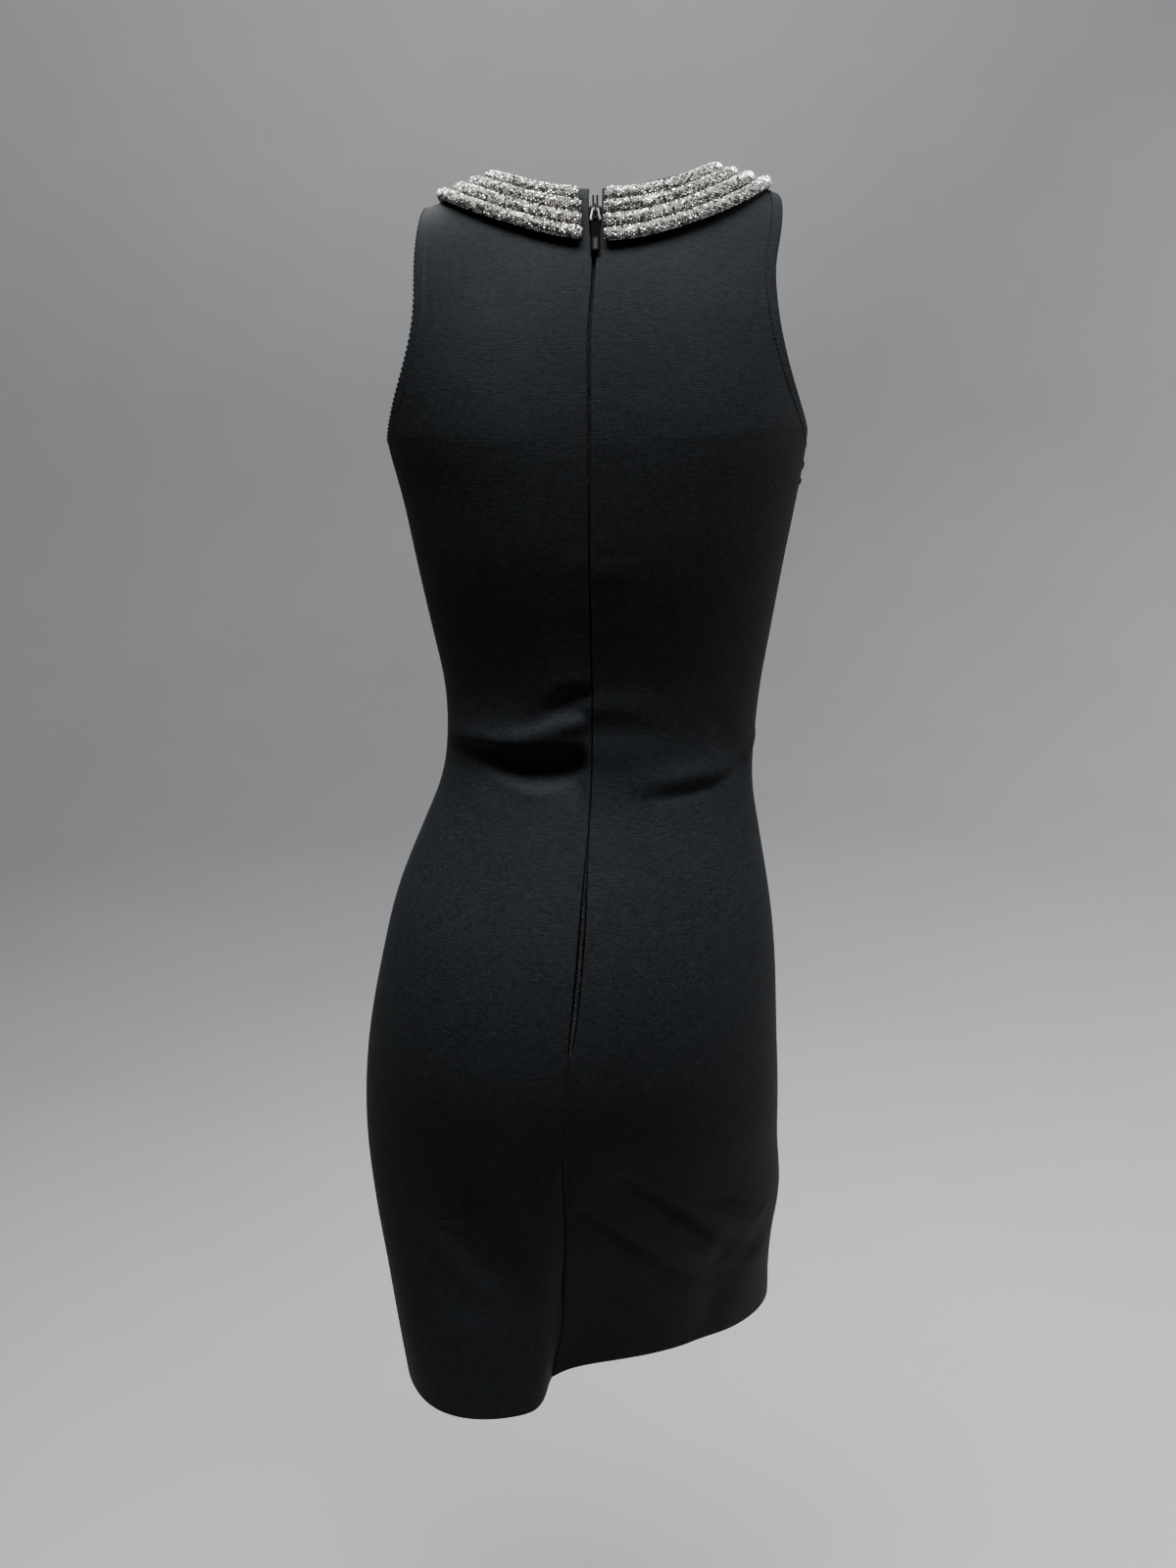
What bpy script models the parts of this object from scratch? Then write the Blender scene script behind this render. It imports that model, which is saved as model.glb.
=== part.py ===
"""Sleeveless bodycon dress in fine ribbed knit, worn, with a corded collar and a centre-back zip.

The wearer faces -Y, so the zip is on the +Y side and the wearer's left is +X.
The origin is between the shoulder straps, at the neck that holds the dress up.
Tables are in millimetres and degrees. The model is in metres.
"""
from collections import namedtuple
from math import atan2, cos, degrees, exp, hypot, pi, radians, sin, sqrt

import bmesh
import bpy
from mathutils import Matrix, Vector

MM = 0.001
GAP = 0.3                  # clearance between any two pieces
WALL = 2.0                 # doubled bandage knit

# Level sections of the worn dress, from the hem up. Angle 0 is the back, 90 the wearer's left.
# mid_x and mid_y place the section, back and front are its depths from there, power squares
# its corners, turn swings it about the vertical, seam is how far the centre-back seam has
# moved to the wearer's left of the section's middle, and lean tips the section sideways.
Section = namedtuple("Section", "height mid_x mid_y half_width back front power turn seam lean")
SECTIONS = [
    Section(-870, -2, -21, 163, 74, 80, 2.5, 27, 67, 0.0),
    Section(-820, 3, -13, 161, 76, 83, 2.4, 22, 48, 0.3),
    Section(-770, 7, -6, 160, 80, 87, 2.4, 16, 38, 0.6),
    Section(-720, 10, 0, 162, 86, 91, 2.3, 10, 26, 0.9),
    Section(-670, 15, 4, 160.5, 94, 95, 2.3, 6, 17, 1.1),
    Section(-620, 16, 7, 158.5, 104, 100, 2.3, 3, 12, 1.2),
    Section(-570, 15, 8, 153.5, 110, 104, 2.3, 2, 8, 1.2),
    Section(-520, 11, 6, 147, 108, 105, 2.3, 1, 4, 1.1),
    Section(-475, 8, 2, 139.5, 100, 102, 2.3, 0, 1, 0.9),
    Section(-430, 3, -5, 126.5, 89, 93, 2.2, 0, 3, 0.6),
    Section(-390, -2, -11, 115, 79, 86, 2.2, 0, 5, 0.3),
    Section(-355, -5, -12, 112.5, 75, 84, 2.2, 0, 7, 0.0),
    Section(-315, -6, -8, 114, 74, 91, 2.2, 0, 8, 0.0),
    Section(-270, -5, -3, 121, 79, 108, 2.2, 0, 8, -0.3),
    Section(-225, -4, 0, 128, 87, 124, 2.3, 0, 8, -0.7),
    Section(-185, -4, 0, 135, 92, 132, 2.3, 0, 8, -1.0),
    Section(-150, -2, 0, 141.5, 94, 126, 2.4, 0, 6, -1.3),
    Section(-118, 0, 0, 143, 92, 112, 2.4, 0, 4, -1.5),
    Section(-85, 0, 0, 144, 87, 94, 2.4, 0, 4, -1.7),
    Section(-55, 0, 0, 144, 79, 78, 2.4, 0, 1.5, -2.1),
    Section(-30, 0.5, 0, 144, 69, 66, 2.4, 0, 0, -2.3),
    Section(-9.5, -1.5, 0, 144, 59.5, 55.5, 2.4, 0, 1.5, -2.3),
    Section(5.5, -3, 0, 144, 48.5, 45.5, 2.4, 0, 3, -2.3),
    Section(15.8, -4, 0, 144, 35, 33, 2.4, 0, 4, -2.3),
    Section(21.8, -4, 0, 144, 18.5, 17.5, 2.4, 0, 4, -2.3),
    Section(23.2, -4, 0, 144, 9.5, 9, 2.4, 0, 4, -2.3),
    Section(23.8, -4, 0, 144, 0.4, 0.4, 2.4, 0, 4, -2.3),
]
RIDGE = len(SECTIONS) - 1  # the row that runs along the top of the shoulders
SHOULDER_SLOPE = 0.33      # fall of the shoulders for each mm outwards
SHOULDER_ROUND = 60        # how far from the middle that fall sets in
SLOPE_FROM = -130          # below this height the shoulders' fall has died out

# Soft forms of the cut: a swelling (or hollow, below 0) centred at an angle and a height.
# The spreads are how far it reaches to the right, to the left, and up and down.
Form = namedtuple("Form", "name angle to_right to_left height spread amount")
FORMS = [
    Form("left shoulder blade", 30, 16, 16, -120, 60, 3),
    Form("right shoulder blade", -30, 16, 16, -120, 60, 3),
    Form("small of the back", 2, 13, 13, -300, 80, -4),
    Form("left cup", 147, 17, 17, -190, 45, 7),
    Form("right cup", 213, 17, 17, -190, 45, 7),
    Form("between the cups", 180, 12, 12, -195, 40, -5),
    Form("left seat", 32, 20, 20, -585, 75, 5),
    Form("right seat", -28, 20, 20, -585, 75, 5),
    Form("left back thigh", 42, 14, 18, -880, 90, 7),
    Form("fold at the right side", -88, 9, 9, -745, 12, 3),
]
# The same, with its angle measured from the centre-back seam.
SEAM_VALLEY = Form("valley at the seam", 0, 16, 2.6, -880, 80, -30)

# Creases, each along a bent line of three places. Those on the back end at the centre-back seam.
# side is 1 on the left panel and -1 on the right one, width the reach to each side of the line,
# and depth_a and depth_b the depth (out, above 0) at either end.
Crease = namedtuple(
    "Crease",
    "name side angle_a height_a angle_m height_m angle_b height_b width depth_a depth_b",
)
SEAM_FLAT, SEAM_FREE = 2.0, 5.5  # degrees from the seam between which creases rise to full depth
CREASES = [
    Crease("left waist ridge", 1, 66, -350, 34, -346, 4, -334, 8, 2.5, 5.5),
    Crease("left waist trough", 1, 64, -366, 34, -371, 5, -371, 9, -3, -7),
    Crease("upper left ridge", 1, 22, -314, 12, -308, 4, -304, 6, 1, 2.5),
    Crease("upper left trough", 1, 26, -333, 15, -325, 4, -317, 6, -1, -3.5),
    Crease("right waist ridge", -1, -14, -371, -30, -373, -55, -366, 7, 0.8, 3),
    Crease("right waist trough", -1, -20, -387, -42, -381, -66, -364, 6, -1, -3.5),
    Crease("right hem trough, upper", -1, -9, -664, -24, -715, -45, -768, 12, -2, -6),
    Crease("right hem ridge", -1, -6, -690, -20, -738, -36, -775, 11, 1, 3),
    Crease("right hem trough, lower", -1, -2, -692, -11, -737, -26, -790, 9, -2.5, -3.5),
    Crease("left thigh trough", 1, 46, -655, 36, -705, 28, -760, 24, -3, -4),
]


def section_at(level):
    """The section at a fractional row, on a smooth curve through the table's rows."""
    level = min(max(level, 0.0), float(RIDGE))
    row = min(int(level), RIDGE - 1)
    part = level - row
    rows = [SECTIONS[min(max(row + step, 0), RIDGE)] for step in (-1, 0, 1, 2)]
    weights = (
        (-part + 2 * part ** 2 - part ** 3) / 2,
        (2 - 5 * part ** 2 + 3 * part ** 3) / 2,
        (part + 4 * part ** 2 - 3 * part ** 3) / 2,
        (-part ** 2 + part ** 3) / 2,
    )
    return Section(*[sum(w * value for w, value in zip(weights, column)) for column in zip(*rows)])


def level_of(height):
    """The fractional row whose section is at this height."""
    low, high = 0.0, float(RIDGE)
    for _ in range(40):
        middle = (low + high) / 2
        if section_at(middle).height < height:
            low = middle
        else:
            high = middle
    return low


def bell(distance, spread):
    return exp(-0.5 * (distance / spread) ** 2)


def smooth(value, start, end):
    """0 at start, 1 at end, with an easy slope between."""
    part = min(max((value - start) / (end - start), 0.0), 1.0)
    return part * part * (3 - 2 * part)


def turn_between(angle, other):
    """The signed difference of two angles, from -180 to 180."""
    return (angle - other + 180) % 360 - 180


def angle_at(section, side_x):
    """The angle, on the back, at which the section is side_x to the left of its middle."""
    share = max(min(side_x / section.half_width, 1.0), -1.0)
    bulge = (1 - abs(share) ** section.power) ** (1 / section.power)
    return degrees(atan2(share, bulge))


def swell(form, across, height):
    """How far one form pushes the cloth out, at an angle across from its middle."""
    spread = form.to_left if across > 0 else form.to_right
    return form.amount * bell(across, spread) * bell(height - form.height, form.spread)


def crease_depth(crease, angle, height, degree):
    """How far one crease pushes the cloth out. degree is one degree's length there."""
    corners = (
        (crease.angle_a, crease.height_a),
        (crease.angle_m, crease.height_m),
        (crease.angle_b, crease.height_b),
    )
    nearest, place = 0.0, 0.0
    for leg, (start, end) in enumerate(zip(corners, corners[1:])):
        run = Vector(((end[0] - start[0]) * degree, end[1] - start[1]))
        away = Vector((turn_between(angle, start[0]) * degree, height - start[1]))
        along = min(max(away.dot(run) / run.length_squared, 0.0), 1.0)
        nearness = bell((away - along * run).length, crease.width)
        if nearness > nearest:
            nearest, place = nearness, (leg + along) / 2
    return nearest * (crease.depth_a + place * (crease.depth_b - crease.depth_a))


def swelling(angle, section):
    """How far the soft forms and the creases push the cloth out here."""
    total = sum(swell(form, turn_between(angle, form.angle), section.height) for form in FORMS)
    from_seam = turn_between(angle, angle_at(section, section.seam))
    total += swell(SEAM_VALLEY, from_seam, section.height)
    degree = radians(section.half_width)
    for crease in CREASES:
        share = smooth(crease.side * from_seam, SEAM_FLAT, SEAM_FREE)
        if share > 0:
            total += share * crease_depth(crease, angle, section.height, degree)
    return total


def cloth(angle, level):
    """A point of the dress's outer face, in millimetres."""
    section = section_at(level)
    side, fore = sin(radians(angle)), cos(radians(angle))
    depth = max(section.back if fore > 0 else section.front, 0.1)
    reach = (abs(side) ** section.power + abs(fore) ** section.power) ** (-1 / section.power)
    out = Vector((side * depth, fore * section.half_width, 0)).normalized()
    flat = Vector((section.half_width * side * reach, depth * fore * reach, 0))
    flat += out * swelling(angle, section)
    flat = Matrix.Rotation(radians(section.turn), 3, "Z") @ flat
    fall = SHOULDER_SLOPE * (sqrt(flat.x ** 2 + SHOULDER_ROUND ** 2) - SHOULDER_ROUND)
    fall *= smooth(section.height, SLOPE_FROM, SECTIONS[-1].height)
    rise = flat.x * sin(radians(section.lean))
    return Vector((section.mid_x + flat.x, section.mid_y + flat.y, section.height - fall + rise))


def outward(angle, level):
    """The unit normal of the outer face."""
    across = cloth(angle + 0.5, level) - cloth(angle - 0.5, level)
    low, high = max(level - 0.04, 0.0), min(level + 0.04, float(RIDGE))
    up = cloth(angle, high) - cloth(angle, low)
    return up.cross(across).normalized()


def sideways(angle, level, distance):
    """The angle reached by going a distance to the left along the section."""
    step = (cloth(angle + 1, level) - cloth(angle - 1, level)).length / 2
    return angle + distance / step


# ---- the cut: neckline, armholes, hem and the centre-back opening ----

NECK_X = -5.5
NECK_HALF_WIDTH = 63
NECK_BACK = 53
NECK_FRONT = 62
SIDE_SEAM = 90
HEM_LIFT = 0.33            # in rows of the table, over the advanced right thigh
HEM_LIFT_ANGLE, HEM_LIFT_SPREAD = -11, 23
HEM_SEAM, HEM_EASE = 24, 5  # the lift begins at the seam and is eased in over some degrees

# Half the width of the back and of the front between the armholes, at each height.
ArmholeRow = namedtuple("ArmholeRow", "height back front")
ARMHOLE = [
    ArmholeRow(-150, 141.5, 141.5),
    ArmholeRow(-148.5, 140.7, 140.3),
    ArmholeRow(-145, 139, 137.5),
    ArmholeRow(-138, 136, 132),
    ArmholeRow(-124, 130, 122),
    ArmholeRow(-101, 121, 111),
    ArmholeRow(-78, 115, 105),
    ArmholeRow(-55, 112.5, 103),
    ArmholeRow(-30, 112.5, 105),
    ArmholeRow(-8, 115, 111),
    ArmholeRow(18, 115, 115),
    ArmholeRow(24, 112.5, 112.5),
]

# Width of the gap between the two backs. The zip's coil shows through it.
OpeningRow = namedtuple("OpeningRow", "height width")
OPENING = [
    OpeningRow(-560, 0.3),
    OpeningRow(-552, 4.0),
    OpeningRow(-535, 5.0),
    OpeningRow(-460, 5.0),
    OpeningRow(-435, 3.0),
    OpeningRow(-410, 1.0),
    OpeningRow(-200, 1.0),
    OpeningRow(-165, 2.0),
    OpeningRow(-45, 2.0),
    OpeningRow(-32, 3.0),
    OpeningRow(-24, 7.5),
    OpeningRow(-10, 7.8),
    OpeningRow(5, 8.5),
]


def read_table(table, height, column):
    """A column of a table that has heights, read between its rows."""
    if height <= table[0].height:
        return getattr(table[0], column)
    for low, high in zip(table, table[1:]):
        if height <= high.height:
            part = (height - low.height) / (high.height - low.height)
            return getattr(low, column) + part * (getattr(high, column) - getattr(low, column))
    return getattr(table[-1], column)


def seam_angle(level):
    """Where the centre-back seam is."""
    section = section_at(level)
    return angle_at(section, section.seam)


def edge_angle(section, face):
    """The angle from the middle to the panel's outer edge: the armhole, or the side seam."""
    if section.height <= ARMHOLE[0].height:
        return SIDE_SEAM - degrees(GAP / 2 / section.half_width)
    return angle_at(section, read_table(ARMHOLE, section.height, face))


def column_angle(level, share, side, face):
    """The angle of a panel's column. share runs from the middle, at 0, to the edge, at 1."""
    section = section_at(level)
    edge = edge_angle(section, face)
    if face == "front":
        return 180 - side * share * edge
    opening = read_table(OPENING, section.height, "width") / 2
    start = sideways(seam_angle(level), level, side * opening)
    return start + share * (side * edge - start)


def neckline_level(share, side, face):
    """The row at which a panel's column meets the neckline, or the shoulder's ridge."""
    depth = NECK_BACK if face == "back" else NECK_FRONT
    low, high = level_of(-100), float(RIDGE)
    for _ in range(36):
        middle = (low + high) / 2
        point = cloth(column_angle(middle, share, side, face), middle)
        if hypot((point.x - NECK_X) / NECK_HALF_WIDTH, point.y / depth) > 1:
            low = middle
        else:
            high = middle
    return low


def hem_level(angle):
    """The hem is level, but lifts a little over the advanced right thigh."""
    lift = HEM_LIFT * bell(turn_between(angle, HEM_LIFT_ANGLE), HEM_LIFT_SPREAD)
    return lift * smooth(turn_between(HEM_SEAM, angle), 0, HEM_EASE)


# ---- making meshes ----

def material(name, colour, roughness, metallic=0.0):
    made = bpy.data.materials.new(name)
    made.use_nodes = True
    shader = made.node_tree.nodes["Principled BSDF"]
    shader.inputs["Base Color"].default_value = (*colour, 1)
    shader.inputs["Roughness"].default_value = roughness
    shader.inputs["Metallic"].default_value = metallic
    return made


def add_object(name, data, look, parent=None):
    data.materials.append(look)
    made = bpy.data.objects.new(name, data)
    made.parent = parent
    dress.objects.link(made)
    return made


def add_cutter(name, mesh, parent):
    made = bpy.data.objects.new(name, mesh)
    made.parent = parent
    made.hide_render = True
    made.display_type = "WIRE"
    cutters.objects.link(made)
    return made


def combine(target, tool, operation):
    step = target.modifiers.new(tool.name, "BOOLEAN")
    step.operation = operation
    step.solver = "EXACT"
    step.object = tool


def box(name, size, middle, lower_width=None):
    """A box mesh in millimetres. lower_width narrows its -Y end."""
    shape = bmesh.new()
    bmesh.ops.create_cube(shape, size=1.0)
    for corner in shape.verts:
        narrow = lower_width is not None and corner.co.y < 0
        width = lower_width if narrow else size[0]
        corner.co = Vector((corner.co.x * width, corner.co.y * size[1], corner.co.z * size[2]))
        corner.co = (corner.co + Vector(middle)) * MM
    mesh = bpy.data.meshes.new(name)
    shape.to_mesh(mesh)
    shape.free()
    return mesh


def rod(name, radius, length, turn, middle, sides=16):
    """A cylinder mesh in millimetres. turn swings its length from Z."""
    shape = bmesh.new()
    place = Matrix.Translation(Vector(middle) * MM) @ turn.to_4x4()
    bmesh.ops.create_cone(
        shape,
        cap_ends=True,
        segments=sides,
        radius1=radius * MM,
        radius2=radius * MM,
        depth=length * MM,
        matrix=place,
    )
    mesh = bpy.data.meshes.new(name)
    shape.to_mesh(mesh)
    shape.free()
    mesh.shade_smooth()
    mesh.set_sharp_from_angle(angle=radians(40))
    return mesh


def round_edges(made, width):
    step = made.modifiers.new("Rounded edges", "BEVEL")
    step.width = width * MM
    step.segments = 2
    step.limit_method = "ANGLE"


def cord(name, points, radius, look, closed=False, parent=None):
    """A round cord along points in millimetres."""
    path = bpy.data.curves.new(name, "CURVE")
    path.dimensions = "3D"
    path.bevel_depth = radius * MM
    path.bevel_resolution = 2
    path.use_fill_caps = not closed
    line = path.splines.new("POLY")
    line.points.add(len(points) - 1)
    line.use_cyclic_u = closed
    for target, point in zip(line.points, points):
        target.co = (*(Vector(point) * MM), 1)
    return add_object(name, path, look, parent)


def sheet(name, places, depth, thickness, look):
    """A wall from a depth under the dress's outer face, its places in order of their angle."""
    outer = surface(places, depth)
    inner = surface(places, depth + thickness)
    rings = [out + back[::-1] for out, back in zip(outer, inner)]
    size = len(rings[0])
    last = (len(rings) - 1) * size
    faces = []
    for row, (low, high) in enumerate(zip(surface(places, 0), surface(places[1:], 0))):
        for index in range(size):
            a, b = row * size + index, row * size + (index + 1) % size
            column = min(index, size - 2 - index) % (size // 2 - 1)
            falling = (low[column + 1] - high[column]).length < (low[column] - high[column + 1]).length
            # Both faces, and every layer, take the outer face's shorter diagonal.
            if falling == (index < size // 2):
                faces += [(a, a + size, b), (b, a + size, b + size)]
            else:
                faces += [(a, a + size, b + size), (a, b + size, b)]
    for index in range(size // 2 - 1):
        hem = (index, index + 1, size - 2 - index, size - 1 - index)
        faces.append(hem)
        faces.append(tuple(corner + last for corner in reversed(hem)))
    mesh = bpy.data.meshes.new(name)
    mesh.from_pydata([point * MM for ring in rings for point in ring], [], faces)
    mesh.shade_smooth()
    mesh.set_sharp_from_angle(angle=radians(50))
    add_object(name, mesh, look)


# ---- the panels ----

BACK_COLUMNS, FRONT_COLUMNS = 13, 8
BACK_CROWDING = 1.5        # sets the back's columns closer together near the zip
YOKE = 16                  # the level from which rows spread to reach neckline and shoulders

# How closely a panel's rows are set: the row of its grid that comes to each height.
Pace = namedtuple("Pace", "height row")
PACES = [
    Pace(-870, 0),
    Pace(-640, 17),
    Pace(-553, 20),
    Pace(-410, 25),
    Pace(-300, 36),
    Pace(-170, 41),
    Pace(-150, 43),
    Pace(-138, 46),
    Pace(-108, 49),
    Pace(24, 59),
]


def row_levels():
    """The level of each row of a panel's grid, before it is fitted to neckline and hem."""
    levels = []
    for low, high in zip(PACES, PACES[1:]):
        bottom, top = level_of(low.height), level_of(high.height)
        count = high.row - low.row
        levels += [bottom + (top - bottom) * step / count for step in range(count)]
    return levels + [float(RIDGE)]


def panel_places(side, face, columns, crowding=1.0):
    """The angle and level of each corner of a panel's grid, from the middle to one edge."""
    shares = [(column / columns) ** crowding for column in range(columns + 1)]
    lows = [hem_level(column_angle(0.0, share, side, face)) for share in shares]
    tops = [neckline_level(share, side, face) for share in shares]
    places = []
    for level in row_levels():
        line = []
        for share, low, top in zip(shares, lows, tops):
            if level < YOKE:
                fitted = level + low * (1 - level / YOKE)
            else:
                fitted = YOKE + (level - YOKE) * (top - YOKE) / (RIDGE - YOKE)
            line.append((column_angle(fitted, share, side, face), fitted))
        places.append(line)
    return places


def surface(places, depth):
    """The points at these places, moved in from the outer face by a depth."""
    return [[cloth(*place) - depth * outward(*place) for place in row] for row in places]


def reversed_rows(rows):
    return [row[::-1] for row in rows]


# ---- the collar: four padded cords side by side around the neckline ----

CORD_RADIUS = 3.4
CORD_LIFT = CORD_RADIUS + 2 * GAP  # clear of the facets of the cloth beneath
SHOULDER_SPREAD = 0.2      # how much farther apart the cords lie over the shoulders
BUNCHING = 0.18            # how much they draw together between there and the middles
BUNCH_OFFSET = 24          # towards this distance from the neckline
STRIDE = 0.35              # plan step for each mm still to go along the cloth
LONGEST_LEFT = 4           # how much of that distance one step may reckon with
CLOSE_ENOUGH = 0.1

# offset is the cord's distance from the neckline along the cloth.
# left_end and right_end are where it stops at the centre back, to the left of the origin.
# steps is how many straight pieces it is made of.
Cord = namedtuple("Cord", "name offset left_end right_end steps")
CORDS = [
    Cord("collar_cord_1", 8.2, 10.2, -6.0, 44),
    Cord("collar_cord_2", 16.9, 9.0, -5.6, 50),
    Cord("collar_cord_3", 25.8, 8.7, -5.4, 56),
    Cord("collar_cord_4", 34.8, 8.5, -5.6, 66),
]


def on_shoulders(x, y):
    """The outer face at a plan position near the neck."""
    low, high = level_of(-150), float(RIDGE)
    for _ in range(26):
        level = (low + high) / 2
        section = section_at(level)
        angle = angle_at(section, x - section.mid_x)
        point = cloth(angle if y > 0 else 180 - angle, level)
        if abs(point.y) > abs(y):
            low = level
        else:
            high = level
    return point


def neck_radius(bearing):
    """Plan distance from the middle of the neck to the neckline. Bearing 0 is the back."""
    depth = NECK_BACK if cos(bearing) > 0 else NECK_FRONT
    return 1 / hypot(sin(bearing) / NECK_HALF_WIDTH, cos(bearing) / depth)


def out_from_neckline(bearing, distance):
    """The plan position reached by going a distance along the cloth, straight out."""
    ray = Vector((sin(bearing), cos(bearing)))
    place = Vector((NECK_X, 0)) + ray * neck_radius(bearing)
    point = on_shoulders(*place)
    left = distance
    while left > CLOSE_ENOUGH:
        place += ray * STRIDE * min(left, LONGEST_LEFT)
        further = on_shoulders(*place)
        left -= (further - point).length
        point = further
    return place


def above_shoulders(place, height):
    """The point at a height above the cloth, over a plan position."""
    x, y = place
    across = on_shoulders(x + 1, y) - on_shoulders(x - 1, y)
    along = on_shoulders(x, y + 1) - on_shoulders(x, y - 1)
    return on_shoulders(x, y) + across.cross(along).normalized() * height


def end_bearing(x, offset):
    """The bearing at which a cord at this offset is at x, at the back."""
    bearing = 0.0
    for _ in range(4):
        bearing = atan2(x - NECK_X, out_from_neckline(bearing, offset).y)
    return bearing


def cord_line(spec):
    """The middle line of a cord, from its left end around the front to its right end."""
    start = end_bearing(spec.left_end, spec.offset)
    end = 2 * pi + end_bearing(spec.right_end, spec.offset)
    line = []
    for step in range(spec.steps + 1):
        bearing = start + (end - start) * step / spec.steps
        offset = spec.offset * (1 + SHOULDER_SPREAD * sin(bearing) ** 2)
        offset += (BUNCH_OFFSET - offset) * BUNCHING * sin(2 * bearing) ** 2
        line.append(above_shoulders(out_from_neckline(bearing, offset), CORD_LIFT))
    return line


# ---- the zip: tapes and coil behind the opening, slider and pull at its top ----

TAPE_COLUMNS = 3           # of the panel's own columns
TAPE_DEPTH = WALL + GAP
TAPE_WALL = 0.8
COIL_DEPTH = TAPE_DEPTH + TAPE_WALL + GAP
COIL_WIDTH, COIL_WALL = 5.0, 1.4
COIL_TOP, COIL_BOTTOM = -15, -553
TAPE_TOP, TAPE_BOTTOM = -8, -580
STOP_SIZE = (5.0, 3.0, 2.0)
STOP_EDGE = 0.4
STOP_HEIGHT = COIL_BOTTOM - GAP - STOP_SIZE[1] / 2

SLIDER_HEIGHT = -15.2      # of the slider's middle
SLIDER_SIZE = (6.8, 9.0, 4.0)
SLIDER_LOWER_WIDTH = 5.4
SLIDER_FACE = 1.0          # how far its face stands out of the cloth
SLIDER_EDGE = 0.5
BRIDGE_SIZE = (1.5, 5.4, 2.8)
WINDOW_SIZE = (3.0, 3.6, 1.7)
WINDOW_FLOOR = 0.2         # above the slider's face
BRIDGE_UP = 1.4            # from the slider's middle to the bridge's

RING_WIRE = 0.5
RING_TOP, RING_BOTTOM = 1.6, 3.0  # half widths, to the wire's middle
RING_LENGTH = 7.2
RING_CORNER = 0.6
SLEEVE_RADIUS, SLEEVE_LENGTH = 1.35, 3.4
BORE_LENGTH = 5.4          # runs out past both ends of the sleeve
TAB_SIZE = (5.8, 20.0, 1.4)
TAB_EDGE = 0.45
TAB_TILT = 2.1             # degrees towards the cloth, on which its end rests
END_RADIUS, END_LENGTH = 0.65, 7.0
END_APART = 1.25           # of each coil end from the middle


def zip_rows(places, bottom, top):
    """The rows of a panel's grid whose inner corner is between two heights."""
    return [row for row in places if bottom <= section_at(row[0][1]).height <= top]


def coil_places(places):
    """Two places in each row, half the coil's width to each side of the seam."""
    rows = []
    for row in zip_rows(places, COIL_BOTTOM - 1, COIL_TOP):
        level = row[0][1]
        middle = seam_angle(level)
        rows.append([(sideways(middle, level, side * COIL_WIDTH / 2), level) for side in (-1, 1)])
    return rows


def stand_on_zip(made, height):
    """Turns an object's X to the wearer's right, Y up the back and Z out of the cloth."""
    level = level_of(height)
    angle = seam_angle(level)
    rise = cloth(angle, level + 0.05) - cloth(angle, level - 0.05)
    made.location = cloth(angle, level) * MM
    made.rotation_euler = (atan2(rise.z, -rise.y), 0, pi)


def add_slider(look):
    """A tapered body with a bridge over the pull's ring."""
    middle_z = SLIDER_FACE - SLIDER_SIZE[2] / 2
    body = box("zip_slider", SLIDER_SIZE, (0, 0, middle_z), SLIDER_LOWER_WIDTH)
    slider = add_object("zip_slider", body, look)
    stand_on_zip(slider, SLIDER_HEIGHT)
    round_edges(slider, SLIDER_EDGE)
    block_z = SLIDER_FACE + BRIDGE_SIZE[2] / 2 - WINDOW_FLOOR
    block = box("bridge_block", BRIDGE_SIZE, (0, BRIDGE_UP, block_z))
    combine(slider, add_cutter("bridge_block", block, slider), "UNION")
    window_z = SLIDER_FACE + WINDOW_FLOOR + WINDOW_SIZE[2] / 2
    window = box("bridge_window", WINDOW_SIZE, (0, BRIDGE_UP, window_z))
    combine(slider, add_cutter("bridge_window", window, slider), "DIFFERENCE")
    return slider


def add_hinge(slider):
    """The pull's axis: the middle of the ring's upper bar, in the bridge's window."""
    hinge = bpy.data.objects.new("pull_hinge", None)
    hinge.parent = slider
    hinge.location = Vector((0, BRIDGE_UP, SLIDER_FACE + WINDOW_FLOOR + WINDOW_SIZE[2] / 2)) * MM
    hinge.rotation_euler = (radians(TAB_TILT), 0, 0)
    dress.objects.link(hinge)
    return hinge


def add_ring(hinge, look):
    """A wire ring, narrow at the bridge and wide at the tab."""
    right = [
        (RING_TOP - RING_CORNER / 2, 0, 0),
        (RING_TOP, -RING_CORNER, 0),
        (RING_BOTTOM, -RING_LENGTH + RING_CORNER, 0),
        (RING_BOTTOM - RING_CORNER, -RING_LENGTH, 0),
    ]
    left = [(-x, y, z) for x, y, z in reversed(right)]
    cord("pull_ring", right + left, RING_WIRE, look, closed=True, parent=hinge)


def add_tab(hinge, look):
    """A flat tab whose sleeve turns on the ring's lower bar."""
    upper = -RING_LENGTH - RING_WIRE - GAP
    plate = box("pull_tab", TAB_SIZE, (0, upper - TAB_SIZE[1] / 2, 0))
    tab = add_object("pull_tab", plate, look, hinge)
    round_edges(tab, TAB_EDGE)
    across = Matrix.Rotation(pi / 2, 3, "Y")
    bar = (0, -RING_LENGTH, 0)
    sleeve = rod("tab_sleeve", SLEEVE_RADIUS, SLEEVE_LENGTH, across, bar)
    combine(tab, add_cutter("tab_sleeve", sleeve, hinge), "UNION")
    bore = rod("tab_bore", RING_WIRE + GAP, BORE_LENGTH, across, bar)
    combine(tab, add_cutter("tab_bore", bore, hinge), "DIFFERENCE")


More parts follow.
